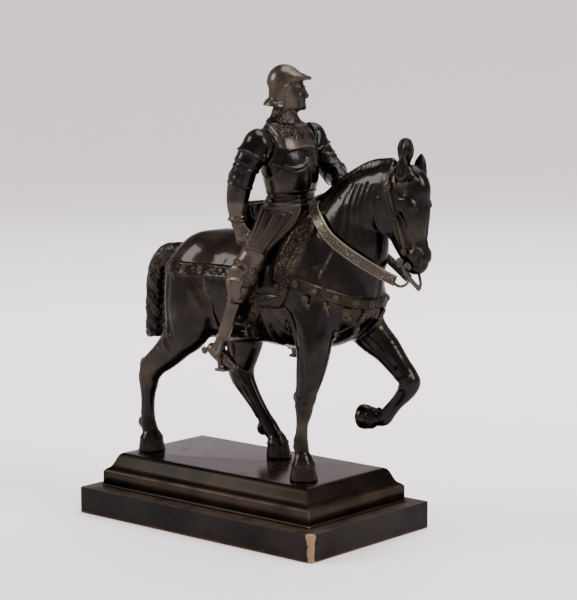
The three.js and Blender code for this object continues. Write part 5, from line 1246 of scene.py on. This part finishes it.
# Small cast ornaments, each a closed shape on a point of the surface
class Mound:
    """Points and faces of many small shapes, gathered into one piece."""

    def __init__(self):
        self.points, self.faces = [], []

    def rings(self, rings):
        """A closed shape from rings of equally many points."""
        start = sum(len(p) for p in self.points)
        sides = len(rings[0])
        self.points.append(np.concatenate(rings))
        for level in range(len(rings) - 1):
            for i in range(sides):
                a = start + level * sides + i
                b = start + level * sides + (i + 1) % sides
                self.faces.append((a, b, b + sides, a + sides))
        for level, turned in ((0, True), (len(rings) - 1, False)):
            middle = start + level * sides
            for i in range(1, sides - 1):
                corners = (middle, middle + i, middle + i + 1)
                self.faces.append(corners[::-1] if turned else corners)

    def build(self, name, material, slot, stands_for, grain=0.0, edge=0.5):
        """One object of them all, with the same notes all over."""
        mesh = smooth_mesh(name, metres(np.concatenate(self.points)), self.faces)
        obj = piece(name, mesh, material, stands_for)
        count = len(mesh.vertices)
        note_on(obj, {"hollow": np.zeros(count), "edge": np.full(count, edge), "tack_and_painted_light": np.ones(count),
                      "grain": np.full(count, grain)})
        return obj


def stand(normal):
    """Two directions across a surface and its normal, the second one as near down as can be."""
    normal = unit(np.asarray(normal, float))
    down = np.array((0, 0, -1.0))
    low = unit(down - normal * (down @ normal))
    return np.cross(low, normal), low, normal


def turned_boss(mound, point, normal, radius, profile, sides=18, petals=0):
    """A round boss: profile rows are share of the radius and height; petals wave its rim."""
    across, low, up = stand(normal)
    turn = circle(sides)
    rings = []
    for share, height in profile:
        wave = 1 + (0.12 * np.cos(petals * turn) if petals and 0.35 < share < 1.01 else 0 * turn)
        r = (radius * share * wave)[:, None]
        rings.append(point + r * (np.cos(turn)[:, None] * across - np.sin(turn)[:, None] * low) + up * height)
    mound.rings(rings)


# Profiles of bosses: share of the radius, and height
DOMED = ((1, -1), (1, 0.5), (0.86, 0.85), (0.74, 0.55), (0.62, 0.6), (0.5, 1.2), (0.26, 1.6), (0.02, 1.7))
RIVET = ((1, -0.5), (1, 0.15), (0.8, 0.5), (0.4, 0.72), (0.03, 0.78))
# Half outlines of pendants, in shares of width and length, and their swell: share of the outline, and height
LEAF = [(0, 0), (0.75, 0.1), (0.85, 0.3), (0.6, 0.5), (1, 0.72), (0.8, 0.95), (0.35, 0.93), (0, 1.12)]
TASSEL = [
    (0, 0), (0.42, 0.06), (0.5, 0.3), (0.75, 0.42), (0.7, 0.62), (0.95, 0.8), (0.75, 1), (0.25, 1),
    (0, 1.06),
]
SWELL = (
    (1, -1), (1, 0.3), (0.93, 0.62), (0.78, 0.7), (0.68, 0.36), (0.45, 0.55), (0.12, 0.95), (0.02, 1.0),
)


def hanging(mound, point, normal, outline, width, length, thick=1.0):
    """A flat pendant that hangs from a point."""
    across, low, up = stand(normal)
    half = through([(a, b, 0) for a, b in outline], 3)[:, :2]
    whole = np.concatenate([half, half[-2:0:-1] * (-1, 1)])
    middle = np.array((0, 0.55))
    rings = []
    for share, height in SWELL:
        flat = middle + (whole - middle) * share
        sideways, downwards = flat[:, :1] * width / 2 * across, flat[:, 1:] * length * low
        rings.append(point + sideways + downwards + up * (height * thick))
    mound.rings([ring[::-1] for ring in rings])


def strip_rings(rows, section, spans):
    """Rings of a cross-section swept along rows of a point and the way the face looks there."""
    path = through(rows, spans)
    rings = []
    for i, row in enumerate(path):
        ahead = unit(path[min(i + 1, len(path) - 1), :3] - path[max(i - 1, 0), :3])
        up = unit(row[3:] - ahead * (row[3:] @ ahead))
        across = np.cross(up, ahead)
        rings.append(row[:3] + np.array([u * across + v * up for u, v in section]))
    return rings


def round_wire(radius, sides=12):
    return [(radius * math.cos(t), radius * math.sin(t)) for t in circle(sides)]


# Materials
class Shade:
    """An output of a node, on which ordinary arithmetic makes the next node."""

    def __init__(self, tree, socket):
        self.tree, self.socket = tree, socket

    def math(self, operation, other=None):
        return node(self.tree, "ShaderNodeMath", {"operation": operation}, {0: self, 1: other})

    def __add__(self, other):
        return self.math("ADD", other)

    def __mul__(self, other):
        return self.math("MULTIPLY", other)

    def __sub__(self, other):
        return self.math("SUBTRACT", other)

    def __rsub__(self, other):
        return (self * -1) + other

    __radd__, __rmul__ = __add__, __mul__

    def ramp(self, low, high):
        """0 at low and 1 at high, eased between."""
        settings = {"interpolation_type": "SMOOTHSTEP"}
        return node(self.tree, "ShaderNodeMapRange", settings, {0: self, 1: low, 2: high, 3: 0.0, 4: 1.0})

    def near(self, value, width, full=0.0):
        """1 at the value and within the full width of it, and 0 further from it than the width."""
        return (self - value).math("ABSOLUTE").ramp(width, full)


def node(tree, kind, settings=None, sockets=None, result=0):
    """A new node: its settings first, then a number, a colour or another node's output for each socket."""
    made = tree.nodes.new(kind)
    for key, value in (settings or {}).items():
        setattr(made, key, value)
    for key, value in (sockets or {}).items():
        if isinstance(value, Shade):
            tree.links.new(value.socket, made.inputs[key])
        elif value is not None:
            made.inputs[key].default_value = value
    return Shade(tree, made.outputs[result])


def apart_xyz(tree, place):
    made = node(tree, "ShaderNodeSeparateXYZ", None, {0: place})
    return [Shade(tree, output) for output in made.socket.node.outputs]


def mixed(tree, share, a, b):
    return node(tree, "ShaderNodeMix", {"data_type": "RGBA"}, {0: share, 6: a, 7: b}, 2)


class Finish:
    """A material on the standard shader, with the object's own coordinates and its carved notes to hand."""

    def __init__(self, name, **constants):
        self.material = bpy.data.materials.new(name)
        self.material.use_nodes = True
        self.tree = self.material.node_tree
        self.shader = self.tree.nodes["Principled BSDF"]
        for key, value in constants.items():
            self.shader.inputs[key.replace("_", " ").title().replace("Ior", "IOR")].default_value = value
        self.place = node(self.tree, "ShaderNodeTexCoord", result=3)
        self.x, self.y, self.z = apart_xyz(self.tree, self.place)

    def noise(self, scale, detail=3, roughness=0.55, place=None):
        sockets = {"Vector": place or self.place, "Scale": scale, "Detail": detail, "Roughness": roughness}
        return node(self.tree, "ShaderNodeTexNoise", None, sockets)

    def grains(self, scale):
        return node(self.tree, "ShaderNodeTexVoronoi", {"feature": "F1"},
                    {"Vector": self.place, "Scale": scale})

    def stretched(self, x, y, z):
        return node(self.tree, "ShaderNodeMapping", None, {"Vector": self.place, "Scale": (x, y, z)})

    def noted(self, name):
        """The number that note_on kept at each point."""
        return node(self.tree, "ShaderNodeAttribute", {"attribute_name": name}, None, 2)

    def mix(self, share, a, b):
        return mixed(self.tree, share, a, b)

    def layers(self, share, first, second, *rows):
        """A mix of two colours, and more colours laid over it, each by its own share."""
        base = self.mix(share, (*first, 1), (*second, 1))
        for share, colour in rows:
            base = self.mix(share, base, (*colour, 1))
        return base

    def raised(self, height, distance, strength=1.0, under=None):
        sockets = {"Strength": strength, "Distance": distance, "Height": height, "Normal": under}
        return node(self.tree, "ShaderNodeBump", None, sockets)

    def ends(self, **sockets):
        for key, value in sockets.items():
            self.tree.links.new(value.socket, self.shader.inputs[key.replace("_", " ")])
        return self.material


def figure_bronze(name, dark, warm, worn, gilt_and_painted_light_colour):
    """Dark lacquered bronze: warm where handled, green-gold on the horse's harness and where the rider is
    painted lighter, dull in the hollows.
    """
    look = Finish(name, metallic=1.0, specular_tint=(0.4, 0.38, 0.35, 1), coat_roughness=0.12, coat_ior=1.45)
    hollow, edge, tack_and_painted_light, grain = [look.noted(n) for n in ("hollow", "edge", "tack_and_painted_light", "grain")]
    broad = look.noise(26)
    patch = look.noise(70, 4, 0.6)
    fine = look.noise(420, 3, 0.6)
    rubbed = (edge - 0.5 + (patch - 0.5) * 0.5).ramp(0.12, 0.5)
    handled = (broad + (patch - 0.5) * 0.5).ramp(0.48, 0.72)
    dusty = (hollow + (fine - 0.5) * 0.4).ramp(0.52, 0.95)
    # On the rider this gold tone is partly painted light and shade, laid by rider_masks.
    gilt_and_painted_light = (tack_and_painted_light * (0.35 + patch)).ramp(0.35, 0.9)
    specks = look.grains(820).ramp(0.4, 0.16) * grain * (patch + 0.4).ramp(0.7, 1.0)
    green = (look.noise(44, 3, 0.6) + (patch - 0.5) * 0.6).ramp(0.52, 0.7)
    dust = (0.006, 0.005, 0.004)
    colour = look.layers(
        handled * 0.7, dark, warm, (green * 0.15, gilt_and_painted_light_colour), (gilt_and_painted_light * 0.36, gilt_and_painted_light_colour), (specks * 0.75, worn),
        (rubbed * 0.55, worn), (dusty * 0.8, dust))
    rough = 0.22 + 0.16 * broad + 0.1 * patch + 0.25 * dusty - 0.05 * rubbed + 0.05 * gilt_and_painted_light
    pits = look.grains(1100).ramp(0.5, 0.12) * grain
    skin = look.raised(fine + 0.6 * patch, 0.00012, 0.35)
    normal = look.raised(pits, 0.0005, 1.0, skin)
    coat = (0.28 - 0.2 * dusty - 0.16 * grain).math("MAXIMUM", 0.0)
    return look.ends(Base_Color=colour, Roughness=rough, Coat_Weight=coat, Normal=normal)


def corner_post(look, corner, width, full):
    """1 on the upright edge at the right front corner, on both of its faces."""
    return look.x.near(corner[0], width, full) * look.y.near(-corner[1], width, full)


def moulding_bronze(corner, fascia_top, top):
    """The plinth's bronze: near black and glossy, with thin golden wear on its arrises, and painted shade
    darkening the upward slope of its moulding.
    """
    tint = (0.3, 0.28, 0.26, 1)
    look = Finish("plinth_bronze", metallic=1.0, specular_tint=tint, coat_roughness=0.2, coat_ior=1.4)
    broad, patch, fine = look.noise(14), look.noise(60, 4, 0.6), look.noise(300, 3, 0.6)
    upright = corner_post(look, corner, 0.0016, 0.0) * (0.5 + patch).ramp(0.75, 1.1)
    arris = look.z.near(fascia_top, 0.0004) * (patch + 0.3 * broad).ramp(0.5, 0.8)
    flat = look.z.ramp(top - 0.0006, top - 0.0001)
    slope = look.z.ramp(fascia_top + 0.0004, fascia_top + 0.0016) * (1 - flat)
    dust = flat * (patch + (fine - 0.5) * 0.6).ramp(0.58, 0.8)
    # The near-black laid over the cyma's upward slope below is painted shade, darkening its reflection of the
    # room above.
    black, brown, painted_shade_black = (0.012, 0.0098, 0.0075), (0.032, 0.023, 0.0155), (0.004, 0.0035, 0.0028)
    grey, gold, bright_gold = (0.05, 0.04, 0.03), (0.15, 0.1, 0.055), (0.34, 0.23, 0.13)
    colour = look.layers((broad + patch * 0.5).ramp(0.6, 0.95), black, brown, (slope * 0.6, painted_shade_black),
                         (dust * 0.3, grey), (arris * 0.4, gold), (upright * 0.8, bright_gold))
    rough = 0.34 + 0.14 * broad + 0.14 * dust + 0.16 * arris + 0.08 * patch
    coat = 0.16 + 0.42 * flat - 0.1 * slope - 0.2 * dust
    normal = look.raised(fine * 0.4 + patch, 0.00022, 0.3)
    return look.ends(Base_Color=colour, Roughness=rough, Coat_Weight=coat, Normal=normal)


def ebonised_wood(corner, top):
    """Blackened wood, rubbed to bare tan at its front corner and brown along its lower edge."""
    look = Finish("ebonised_wood", metallic=0.0, specular_ior_level=0.05, coat_roughness=0.3, coat_ior=1.4)
    broad, patch, fine = look.noise(16), look.noise(90, 4, 0.65), look.noise(500, 3, 0.6)
    pores = look.noise(60, 5, 0.7, look.stretched(0.08, 1.0, 1.0))
    post = corner_post(look, corner, 0.006, 0.001)
    bare = (post * 1.15 + (patch - 0.5) * 1.7 + (fine - 0.5) * 0.9).ramp(0.42, 0.74)
    foot = (look.z.ramp(0.0034, 0.0002) + (patch - 0.5) * 1.1).ramp(0.5, 0.95)
    arris = (look.z.near(top, 0.0012) + (patch - 0.5) * 1.2 - 0.25).ramp(0.45, 0.95)
    scuff = (patch + (fine - 0.5) * 0.5).ramp(0.62, 0.8)
    black, soft_black, grey = (0.006, 0.0052, 0.0046), (0.012, 0.0098, 0.008), (0.035, 0.027, 0.02)
    brown, red_brown, tan = (0.09, 0.06, 0.038), (0.085, 0.034, 0.02), (0.27, 0.18, 0.11)
    colour = look.layers(broad.ramp(0.4, 0.7), black, soft_black, (scuff * 0.25, grey), (arris * 0.3, brown),
                         (foot * 0.7, red_brown), (bare * 0.75, tan))
    rough = 0.42 + 0.16 * broad + 0.2 * bare + 0.15 * foot + 0.1 * scuff
    coat = (0.07 * (broad + patch * 0.8).ramp(0.75, 1.05) - 0.07 * bare - 0.05 * foot).math("MAXIMUM", 0.0)
    normal = look.raised(pores * 0.6 + fine * 0.25 + patch * 0.9 - bare * 1.5 + scuff * 0.3, 0.0006, 0.6)
    return look.ends(Base_Color=colour, Roughness=rough, Coat_Weight=coat, Normal=normal)


def stacked(levels, steps):
    """Rings of rounded rectangles: half length, half width, corner radius and height, in metres."""
    rings = []
    for half_x, half_y, radius, z in levels:
        ring = []
        for corner, (sx, sy) in enumerate(((1, 1), (-1, 1), (-1, -1), (1, -1))):
            for i in range(steps + 1):
                angle = math.pi / 2 * (corner + i / steps)
                ring.append((sx * (half_x - radius) + radius * math.cos(angle),
                             sy * (half_y - radius) + radius * math.sin(angle), z))
        rings.append(np.array(ring))
    return rings


def plinth(name, levels, steps, material, slot):
    """A closed piece of the plinth."""
    mound = Mound()
    mound.rings([(ring - (0, 0, PLINTH_TOP)) / PART for ring in stacked(levels, steps)])
    mound.build(name, material, slot, name.removesuffix("_form"))


def beside(p, line, width):
    """1 on a line of side-view points, and 0 further from it than half its width."""
    path = through([(x, 0, z) for x, z in line], 4)[:, [0, 2]]
    near = np.full(len(p), BEYOND)
    for a, b in zip(path, path[1:]):
        run = b - a
        t = np.clip(((p[:, [0, 2]] - a) @ run) / max(run @ run, 1e-9), 0, 1)
        near = np.minimum(near, np.linalg.norm(p[:, [0, 2]] - a - t[:, None] * run, axis=1))
    return ramp(width / 2 + 0.4 - near, 0, 0.8)


def horse_masks(p):
    x, y, z = p.T
    wide = ramp(np.abs(y), 4, 8)
    breast = ramp(3.6 - np.abs(z - breast_strap_height(x)), 0, 0.8) * ramp(x, 57, 59) * (np.abs(x - 88) < 31)
    crupper = ramp(4.4 - np.abs(z - crupper_height(x)), 0, 0.8) * ramp(-x, -7, -5) * ramp(x, -76, -73) * wide
    edge = saddle_cloth_edge(x, z)
    cloth = ramp(edge, -0.6, 0) * wide * (x < 76)
    border = cloth * ramp(7 - edge, 0, 1)
    bridle = np.max([beside(p, line, width) for line, width in BRIDLE], axis=0) * (x > 106)
    leather = beside(p, SADDLE_LEATHER, 8.6) * wide
    tab = beside(p, CLOTH_TAB, 8.8) * wide
    tack_and_painted_light = np.maximum.reduce([0.55 * breast, 0.5 * crupper, 0.6 * border, 0.8 * bridle, 0.6 * leather,
                              0.7 * tab])
    coronet = np.zeros(len(p))
    for place, down in HOOVES:
        s = (p - place) @ unit(down)
        close = np.linalg.norm(p - place, axis=1) < 11
        coronet = np.maximum(coronet, ramp(2.6 - np.abs(s - 0.4), 0, 0.6) * close)
    grain = np.maximum.reduce([0.9 * leather, 0.8 * tab, 0.8 * border, 0.7 * crupper, 0.4 * breast,
                               0.8 * coronet])
    return {"tack_and_painted_light": tack_and_painted_light, "grain": grain}


def rider_masks(p):
    x, y, z = p.T
    wide = np.abs(y)
    mail = ramp(z, 209, 211) * ramp(-z, -230, -228) * (wide < 14)
    knee_links = ramp(z, 118, 120) * ramp(-z, -134, -132) * ramp(x, 26, 29)
    bib = ramp(z, 203.6, 204.6) * ramp(15 - wide, 0, 1) * ramp(x, 30, 32)
    chest = ramp(z, 170, 172) * ramp(-z, -204.6, -203.6) * ramp(19.5 - wide, 0, 1.5)
    u, v, w = FACE.local(x, y, z)
    face = ramp(u + 0.36 * w, 0.5, 2) * ramp(w, -34, -28) * ramp(-w, -6, -4) * ramp(9 - np.abs(v), 0, 1)
    face = np.maximum(face, ramp(z, 218, 222) * ramp(-z, -229, -227))
    upper = ramp(z, 174, 190) * ramp(wide, 16, 19) * ramp(-z, -222, -218)
    back = ramp(z, 170, 174) * ramp(-z, -222, -218) * ramp(-x, -30, -27)
    # Partly painted light and shade, partly the bib's own paler colour: the legs, helmet, hands and lower
    # arms are painted lighter to stand for their sheen, and the chest, upper arms, back, face and neck are
    # painted darker.
    lit = np.maximum(0.7 * bib, 1 - np.maximum.reduce([chest, 0.9 * face, 0.9 * upper, 0.9 * back]))
    return {"tack_and_painted_light": lit * (1 - 0.5 * mail), "grain": np.maximum(0.5 * mail, 0.6 * knee_links)}


def dress_horse(clay, material):
    bosses, pendants = Mound(), Mound()

    def on_side(side, x, z):
        return clay.drop(side, [(x, z)])[0]

    def on_breast(x, y, below=0):
        return clay.onto([(x, y, breast_strap_height(x) - below)])[0]

    def out_of(point):
        return clay.slope(np.array([point]), 2.5)[0]

    def boss(point, radius, profile=DOMED, sides=18, petals=0):
        turned_boss(bosses, point, out_of(point), radius, profile, sides, petals)

    def pendant(point, outline, size, proud=0, thick=1):
        hanging(pendants, point + proud * out_of(point), out_of(point), outline, *size, thick)

    for side in BOTH_SIDES:
        # round the breast, as x and y in plan: the strap's bosses, and between them what hangs from it
        for x, y in ((63, 30), (76, 28), (88.7, 22), (97.6, 14), (101, 5)):
            boss(on_breast(x, y * side), 2.4)
        for x, y, below, outline, size in (
            (70.4, 29, 4, LEAF, (6.4, 9.6)), (83, 25, 4, TASSEL, (5.4, 9)),
            (93.6, 18, 4, LEAF, (6.4, 9.4)), (99.6, 9.4, 3.6, TASSEL, (5, 8)),
        ):
            pendant(on_breast(x, y * side, below), outline, size, proud=0.9, thick=1.7)
        # along the crupper
        for x in (-6, -17.6, -31, -45, -58):
            boss(on_side(side, x, crupper_height(x)), 2.7)
        for x in (-14, -39):
            pendant(on_side(side, x, crupper_height(x) - 4), TASSEL, (3.6, 9.6))
        # on the bridle, with petals on the largest
        boss(on_side(side, 118.6, 185), 3.7, petals=8)
        for x, z, radius in ((124.4, 186, 1.7), (128, 186.3, 2.1), (131.6, 186.8, 1.7), (131, 181.4, 1.5),
                             (129, 146, 2.2), (125.2, 166, 1.5)):
            boss(on_side(side, x, z), radius)
        # on the saddle leather and the cloth's tab
        for x, z in ((62.4, 150), (57.8, 134)):
            boss(on_side(side, x, z), 0.9, RIVET, 10)
        for x, z in ((27, 101), (21, 93.4)):
            boss(on_side(side, x, z), 1.6, sides=14)
    pendant(on_breast(102, 0, 3.6), LEAF, (6, 9))
    bosses.build("horse_bosses", material, "figure_bronze", "horse", edge=0.56)
    pendants.build("horse_pendants", material, "figure_bronze", "horse", edge=0.62)


def dress_rider(clay, material):
    rivets = Mound()

    def put(point, radius=0.75, profile=RIVET, sides=10):
        point = clay.onto([point])[0]
        turned_boss(rivets, point, clay.slope(np.array([point]), 2)[0], radius, profile, sides)

    for side, rows in ((-1, RESTING_ARM), (1, REIN_ARM)):
        shoulder, elbow = rows[0], rows[3]
        for turn in (-60, -20, 20, 60):
            t = math.radians(turn)
            put((shoulder[0] + 9 * math.sin(t), side * (24 + 4 * math.cos(t)), 201.5 - 0.02 * abs(turn)))
        put((elbow[0] + 0.8, elbow[1] + side * 7.6, elbow[2] + 0.4), 1.2, DOMED, 14)
    for side in BOTH_SIDES:
        knee = mirrored(LEG, side)[4]
        put((knee[0] - 2.4, knee[1] + side * 8.8, knee[2] + 1), 1.5, DOMED, 14)
        for z, x in ((133, 26), (113.4, 20)):
            put((x, side * 40, z), 0.7)
        for tilt in (20, 60, 100, 140, 170):
            t = math.radians(tilt)
            put(GAZE.out((-0.6 + 11.4 * math.cos(t), side * 10 * math.sin(t), 4.2)), 0.7)
        put(GAZE.out((0.6, 10 * side, 2.6)), 1.5, DOMED, 14)
    rivets.build("rider_rivets", material, "figure_bronze", "rider", edge=0.75)


# The reins: a point, and the way the strap's face looks there
RIGHT_REIN = [
    (63, 14, 177.6, 0.2, -0.3, 1), (58, 8, 175.6, 0.1, -0.4, 1), (55.6, 1.5, 173.6, 0.1, -0.5, 0.9),
    (58, -6, 170.6, 0.1, -0.75, 0.65), (63.4, -12.6, 167, 0.1, -0.9, 0.4), (71.6, -18, 162, 0, -1, 0.25),
    (81, -20.3, 153.2, 0, -1, 0.18), (93, -19, 145, 0, -1, 0.12), (105.4, -16.2, 138, 0, -1, 0.1),
    (116, -13.4, 132.6, 0, -1, 0), (125.4, -10.8, 128.4, 0, -1, 0),
]
LEFT_REIN = [
    (65, 16.6, 174.6, 0.3, 0.8, 1), (68, 20.4, 169, 0.2, 1, 0.4), (75, 22.6, 160.6, 0.1, 1, 0.2),
    (84, 21, 151.6, 0, 1, 0), (91.6, 17, 145.4, 0.1, 0.9, -0.4), (98, 13, 140.7, 0.2, 0.7, -0.7),
    (104.2, 11.5, 137.2, 0.2, 0.7, -0.7), (110.4, 10, 134.1, 0.2, 0.7, -0.7),
    (116.6, 8, 131.1, 0.2, 0.7, -0.7), (122.6, 6, 128.2, 0.2, 0.7, -0.7),
]
REIN_THICK = 1.1
REIN_RIM = (0, 1, 2, 10, 11, 12)  # the places of the raised rims in the section
# The bit's wires
NEAR_CHEEK = [(130, -9, 138), (131, -9, 134), (133.4, -4.8, 128.2), (135.3, -1, 124)]
FAR_CHEEK = [
    (129.4, 7.6, 138), (131.2, 4.6, 133), (134, 2.2, 128.8), (135.5, 0.8, 126), (135.2, -0.8, 123.9),
]
LINK_WIRE = [
    (123.6, -11, 128.4), (125.6, -11, 126.5), (128.6, -10.4, 125.5), (131.2, -9.6, 126.2),
    (133.2, -8.8, 128.2), (133.5, -8.4, 130.2), (131.6, -8.8, 132.6),
]


def rein_section(width, thick):
    """Half of the strap each way from its middle, with a rim along each edge."""
    w, t = width / 2, thick / 2
    top = [(w, 0.1 * t), (w - 0.12, t * 0.9), (w - 0.55, t), (w - 1.0, t * 0.72), (w - 1.5, t * 0.55),
           (w * 0.4, t * 0.6), (0, t * 0.62)]
    face = top + [(-u, v) for u, v in top[-2::-1]]
    back = [(-w, -0.4 * t), (-w + 0.4, -t), (w - 0.4, -t), (w, -0.4 * t)]
    return face + back


def build_reins(material):
    for name, rows, width in (("rein_right", RIGHT_REIN, 7.0), ("rein_left", LEFT_REIN, 5.4)):
        mound = Mound()
        section = rein_section(width, REIN_THICK)
        mound.rings(strip_rings(rows, section, 14))
        obj = mound.build(name + "_form", material, "strap_metal", name, grain=1.0)
        rim = np.isin(np.arange(len(obj.data.vertices)) % len(section), REIN_RIM)
        for label, values in (("edge", np.where(rim, 0.95, 0.3)), ("grain", np.where(rim, 0.0, 1.0))):
            obj.data.attributes[label].data.foreach_set("value", values.astype(np.float32))


def build_bit(material):
    mound = Mound()
    for rows, radius in ((NEAR_CHEEK, 1.4), (FAR_CHEEK, 0.95), (LINK_WIRE, 0.9)):
        ready = [(*p, 0.2, 1, 0.1) for p in rows]
        mound.rings(strip_rings(ready, round_wire(radius), 8))
    for side in BOTH_SIDES:
        turned_boss(mound, np.array((127, side * 8.8, 139.7)), (-0.2, side, 0), 3, DOMED, 20)
        turned_boss(mound, np.array((132.2, side * 8, 137.6)), (0.1, side, -0.2), 2.5, DOMED, 24, petals=8)
    knob = ((1, -1.4), (1, 0.9), (0.7, 1.3), (0.05, 1.5))
    turned_boss(mound, np.array((135.2, -0.8, 124)), (0.3, -0.9, -0.3), 1.5, knob, 14)
    mound.build("bit_form", material, "bit_metal", "bit")


SLAB_CORNER = 1.8
SLAB_EDGE = 0.9  # the rounding of its upper and lower edges
FASCIA = 10.4  # the height of the moulding's upright face
# The moulding's section, in mm: how far in from its foot, and how high: the fascia, a hollow and a round
MOULDING = [
    (0.2, 0), (0, 0.2), (0, 0.85), (0.2, 1.05), (0.8, 1.15), (0.8, 1.5), (0.5, 1.7), (0.5, 9.9),
    (0.62, 10.2), (0.95, FASCIA), (1.2, 10.8), (1.7, 11.35), (2.5, 11.85), (3.5, 12.5), (4.3, 13.2),
    (4.9, 14.1), (5.35, 15), (5.75, 15.9), (6.2, 16.9), (6.65, 17.9), (7.05, 18.9), (7.5, 19.8), (8, 20.6),
    (8.6, 21.25), (9.3, 21.7), (10.1, 22), (11, 22.16), (11.5, 22.2),
]
MOULDING_CORNER = 0.6


def build_plinth():
    low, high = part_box("plinth_slab")
    half = high[:2]
    ease = [(SLAB_EDGE * (1 - math.sin(a)) * MM, SLAB_EDGE * (1 - math.cos(a)) * MM)
            for a in np.linspace(0, math.pi / 2, 5)]
    levels = [(half[0] - i, half[1] - i, SLAB_CORNER * MM, low[2] + r) for i, r in ease]
    levels += [(half[0] - i, half[1] - i, SLAB_CORNER * MM, high[2] - r) for i, r in ease[::-1]]
    plinth("plinth_slab_form", levels, 6, ebonised_wood(half, high[2]), "ebonised_wood")
    foot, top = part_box("plinth_moulding")
    scale = (top[2] - foot[2]) / (MOULDING[-1][1] * MM)
    levels = [(top[0] - i * MM, top[1] - i * MM, MOULDING_CORNER * MM, foot[2] + z * MM * scale)
              for i, z in MOULDING]
    bronze = moulding_bronze(top[:2], foot[2] + FASCIA * MM, top[2])
    plinth("plinth_moulding_form", levels, 4, bronze, "plinth_bronze")


# The studio, in metres: the floor's profile from its middle, its paper in painted shade and in painted light,
# and the soft lights
FLOOR = ((0.01, 0), (1, 0), (2.4, 0), (2.9, 0.06), (3.4, 0.3), (3.8, 0.8), (4, 1.5), (4, 3.2))
FLOOR_SIDES = 64
PAPER_IN_PAINTED_SHADE, PAPER_IN_PAINTED_LIGHT = (0.875, 0.815, 0.828, 1), (0.985, 0.92, 0.93, 1)
SKY, SKY_STRENGTH = (0.96, 0.9, 0.97, 1), 0.55
LIGHTS = [  # place, target, size, power and colour
    ("softbox_left", (-1.9, -1.6, 1.5), (0, 0, 0.15), (1.1, 1.3), 60, (1, 0.98, 0.95)),
    ("softbox_right", (1.9, 0.2, 1.6), (0, 0, 0.15), (0.9, 1.2), 46, (1, 1, 1)),
    ("softbox_floor", (-0.3, 1.0, 1.4), (-0.6, 1.3, 0), (1.2, 1.2), 19, (1, 0.98, 0.98)),
    ("softbox_top", (0.2, 0.2, 2.4), (0, 0, 0), (1.6, 1.6), 60, (1, 1, 1)),
]


def area_light(name, place, target, size, power, colour):
    data = bpy.data.lights.new(name, "AREA")
    data.shape, data.size, data.size_y = "RECTANGLE", *size
    data.energy, data.color = power, colour
    obj = linked(name, data)
    obj.location = place
    aim = unit(np.array(target) - place)
    turn, rise = math.atan2(aim[1], aim[0]), math.asin(aim[2])
    obj.rotation_euler = (math.pi / 2 + rise, 0, turn - math.pi / 2)


def floor_paper():
    """Pale paper with painted light: a little lighter in a band towards the back, darker towards the camera
    and up the far wall.
    """
    paper = bpy.data.materials.new("floor_paper")
    paper.use_nodes = True
    tree = paper.node_tree
    shader = tree.nodes["Principled BSDF"]
    shader.inputs["Roughness"].default_value = 0.75
    across, along, _ = apart_xyz(tree, node(tree, "ShaderNodeTexCoord", result=3))
    depth = along * 0.758 - across * 0.652
    # a painted pool of light: the paper's colour brightens in this band
    light = depth.ramp(-0.2, 0.9) * depth.ramp(3.2, 1.6)
    tree.links.new(mixed(tree, light, PAPER_IN_PAINTED_SHADE, PAPER_IN_PAINTED_LIGHT).socket, shader.inputs["Base Color"])
    return paper


def studio():
    turn, sides = circle(FLOOR_SIDES), range(FLOOR_SIDES)
    points = np.concatenate([np.stack([r * np.cos(turn), r * np.sin(turn), np.full(FLOOR_SIDES, z)], 1)
                             for r, z in FLOOR])
    rings = [[a * FLOOR_SIDES + i for i in sides] for a in range(len(FLOOR))]
    faces = [(low[i], low[i - FLOOR_SIDES + 1], high[i - FLOOR_SIDES + 1], high[i])
             for low, high in zip(rings, rings[1:]) for i in sides]
    mesh = smooth_mesh("floor", points, faces + [tuple(sides)])
    floor = linked("floor", surfaced(mesh, floor_paper()))
    world = bpy.data.worlds.new("studio")
    bpy.context.scene.world = world
    world.use_nodes = True
    sky = world.node_tree.nodes["Background"]
    sky.inputs["Color"].default_value = SKY
    sky.inputs["Strength"].default_value = SKY_STRENGTH
    for row in LIGHTS:
        area_light(*row)


def camera():
    data = bpy.data.cameras.new("photo_view")
    data.lens, data.sensor_width, data.sensor_fit = LENS, 36, "AUTO"
    data.clip_start, data.clip_end = 0.05, 30
    obj = linked("photo_view", data)
    turn, rise = math.radians(VIEW_AZIMUTH), math.radians(VIEW_ELEVATION)
    back = (math.sin(turn) * math.cos(rise), -math.cos(turn) * math.cos(rise), math.sin(rise))
    obj.location = [t + VIEW_DISTANCE * b for t, b in zip(VIEW_TARGET, back)]
    obj.rotation_euler = (math.pi / 2 - rise, 0, turn)
    bpy.context.scene.camera = obj


# The four looks of the cast metal: dark, warm, worn and gold colours; on the rider the gold colour also
# serves as painted light
METALS = {
    "horse_bronze": ((0.0062, 0.0049, 0.004), (0.025, 0.017, 0.0112), (0.15, 0.098, 0.06),
                     (0.07, 0.06, 0.034)),
    "rider_bronze": ((0.0048, 0.0039, 0.0034), (0.0165, 0.0122, 0.0092), (0.27, 0.215, 0.155),
                     (0.115, 0.093, 0.068)),
    "rein_metal": ((0.034, 0.0305, 0.0235), (0.06, 0.053, 0.04), (0.27, 0.225, 0.165), (0.07, 0.062, 0.047)),
    "bit_metal": ((0.035, 0.029, 0.022), (0.06, 0.048, 0.034), (0.2, 0.15, 0.1), (0.08, 0.068, 0.045)),
}

camera()
studio()
build_plinth()
metals = {name: figure_bronze(name, *colours) for name, colours in METALS.items()}
for name, carve, metal, masks, reach, dress in (
    ("horse_form", carve_horse, metals["horse_bronze"], horse_masks, 1.6, dress_horse),
    ("rider_form", carve_rider, metals["rider_bronze"], rider_masks, 1.1, dress_rider),
):
    clay = carve()
    figure(name, clay, metal, masks, reach)
    dress(clay, metal)
build_reins(metals["rein_metal"])
build_bit(metals["bit_metal"])
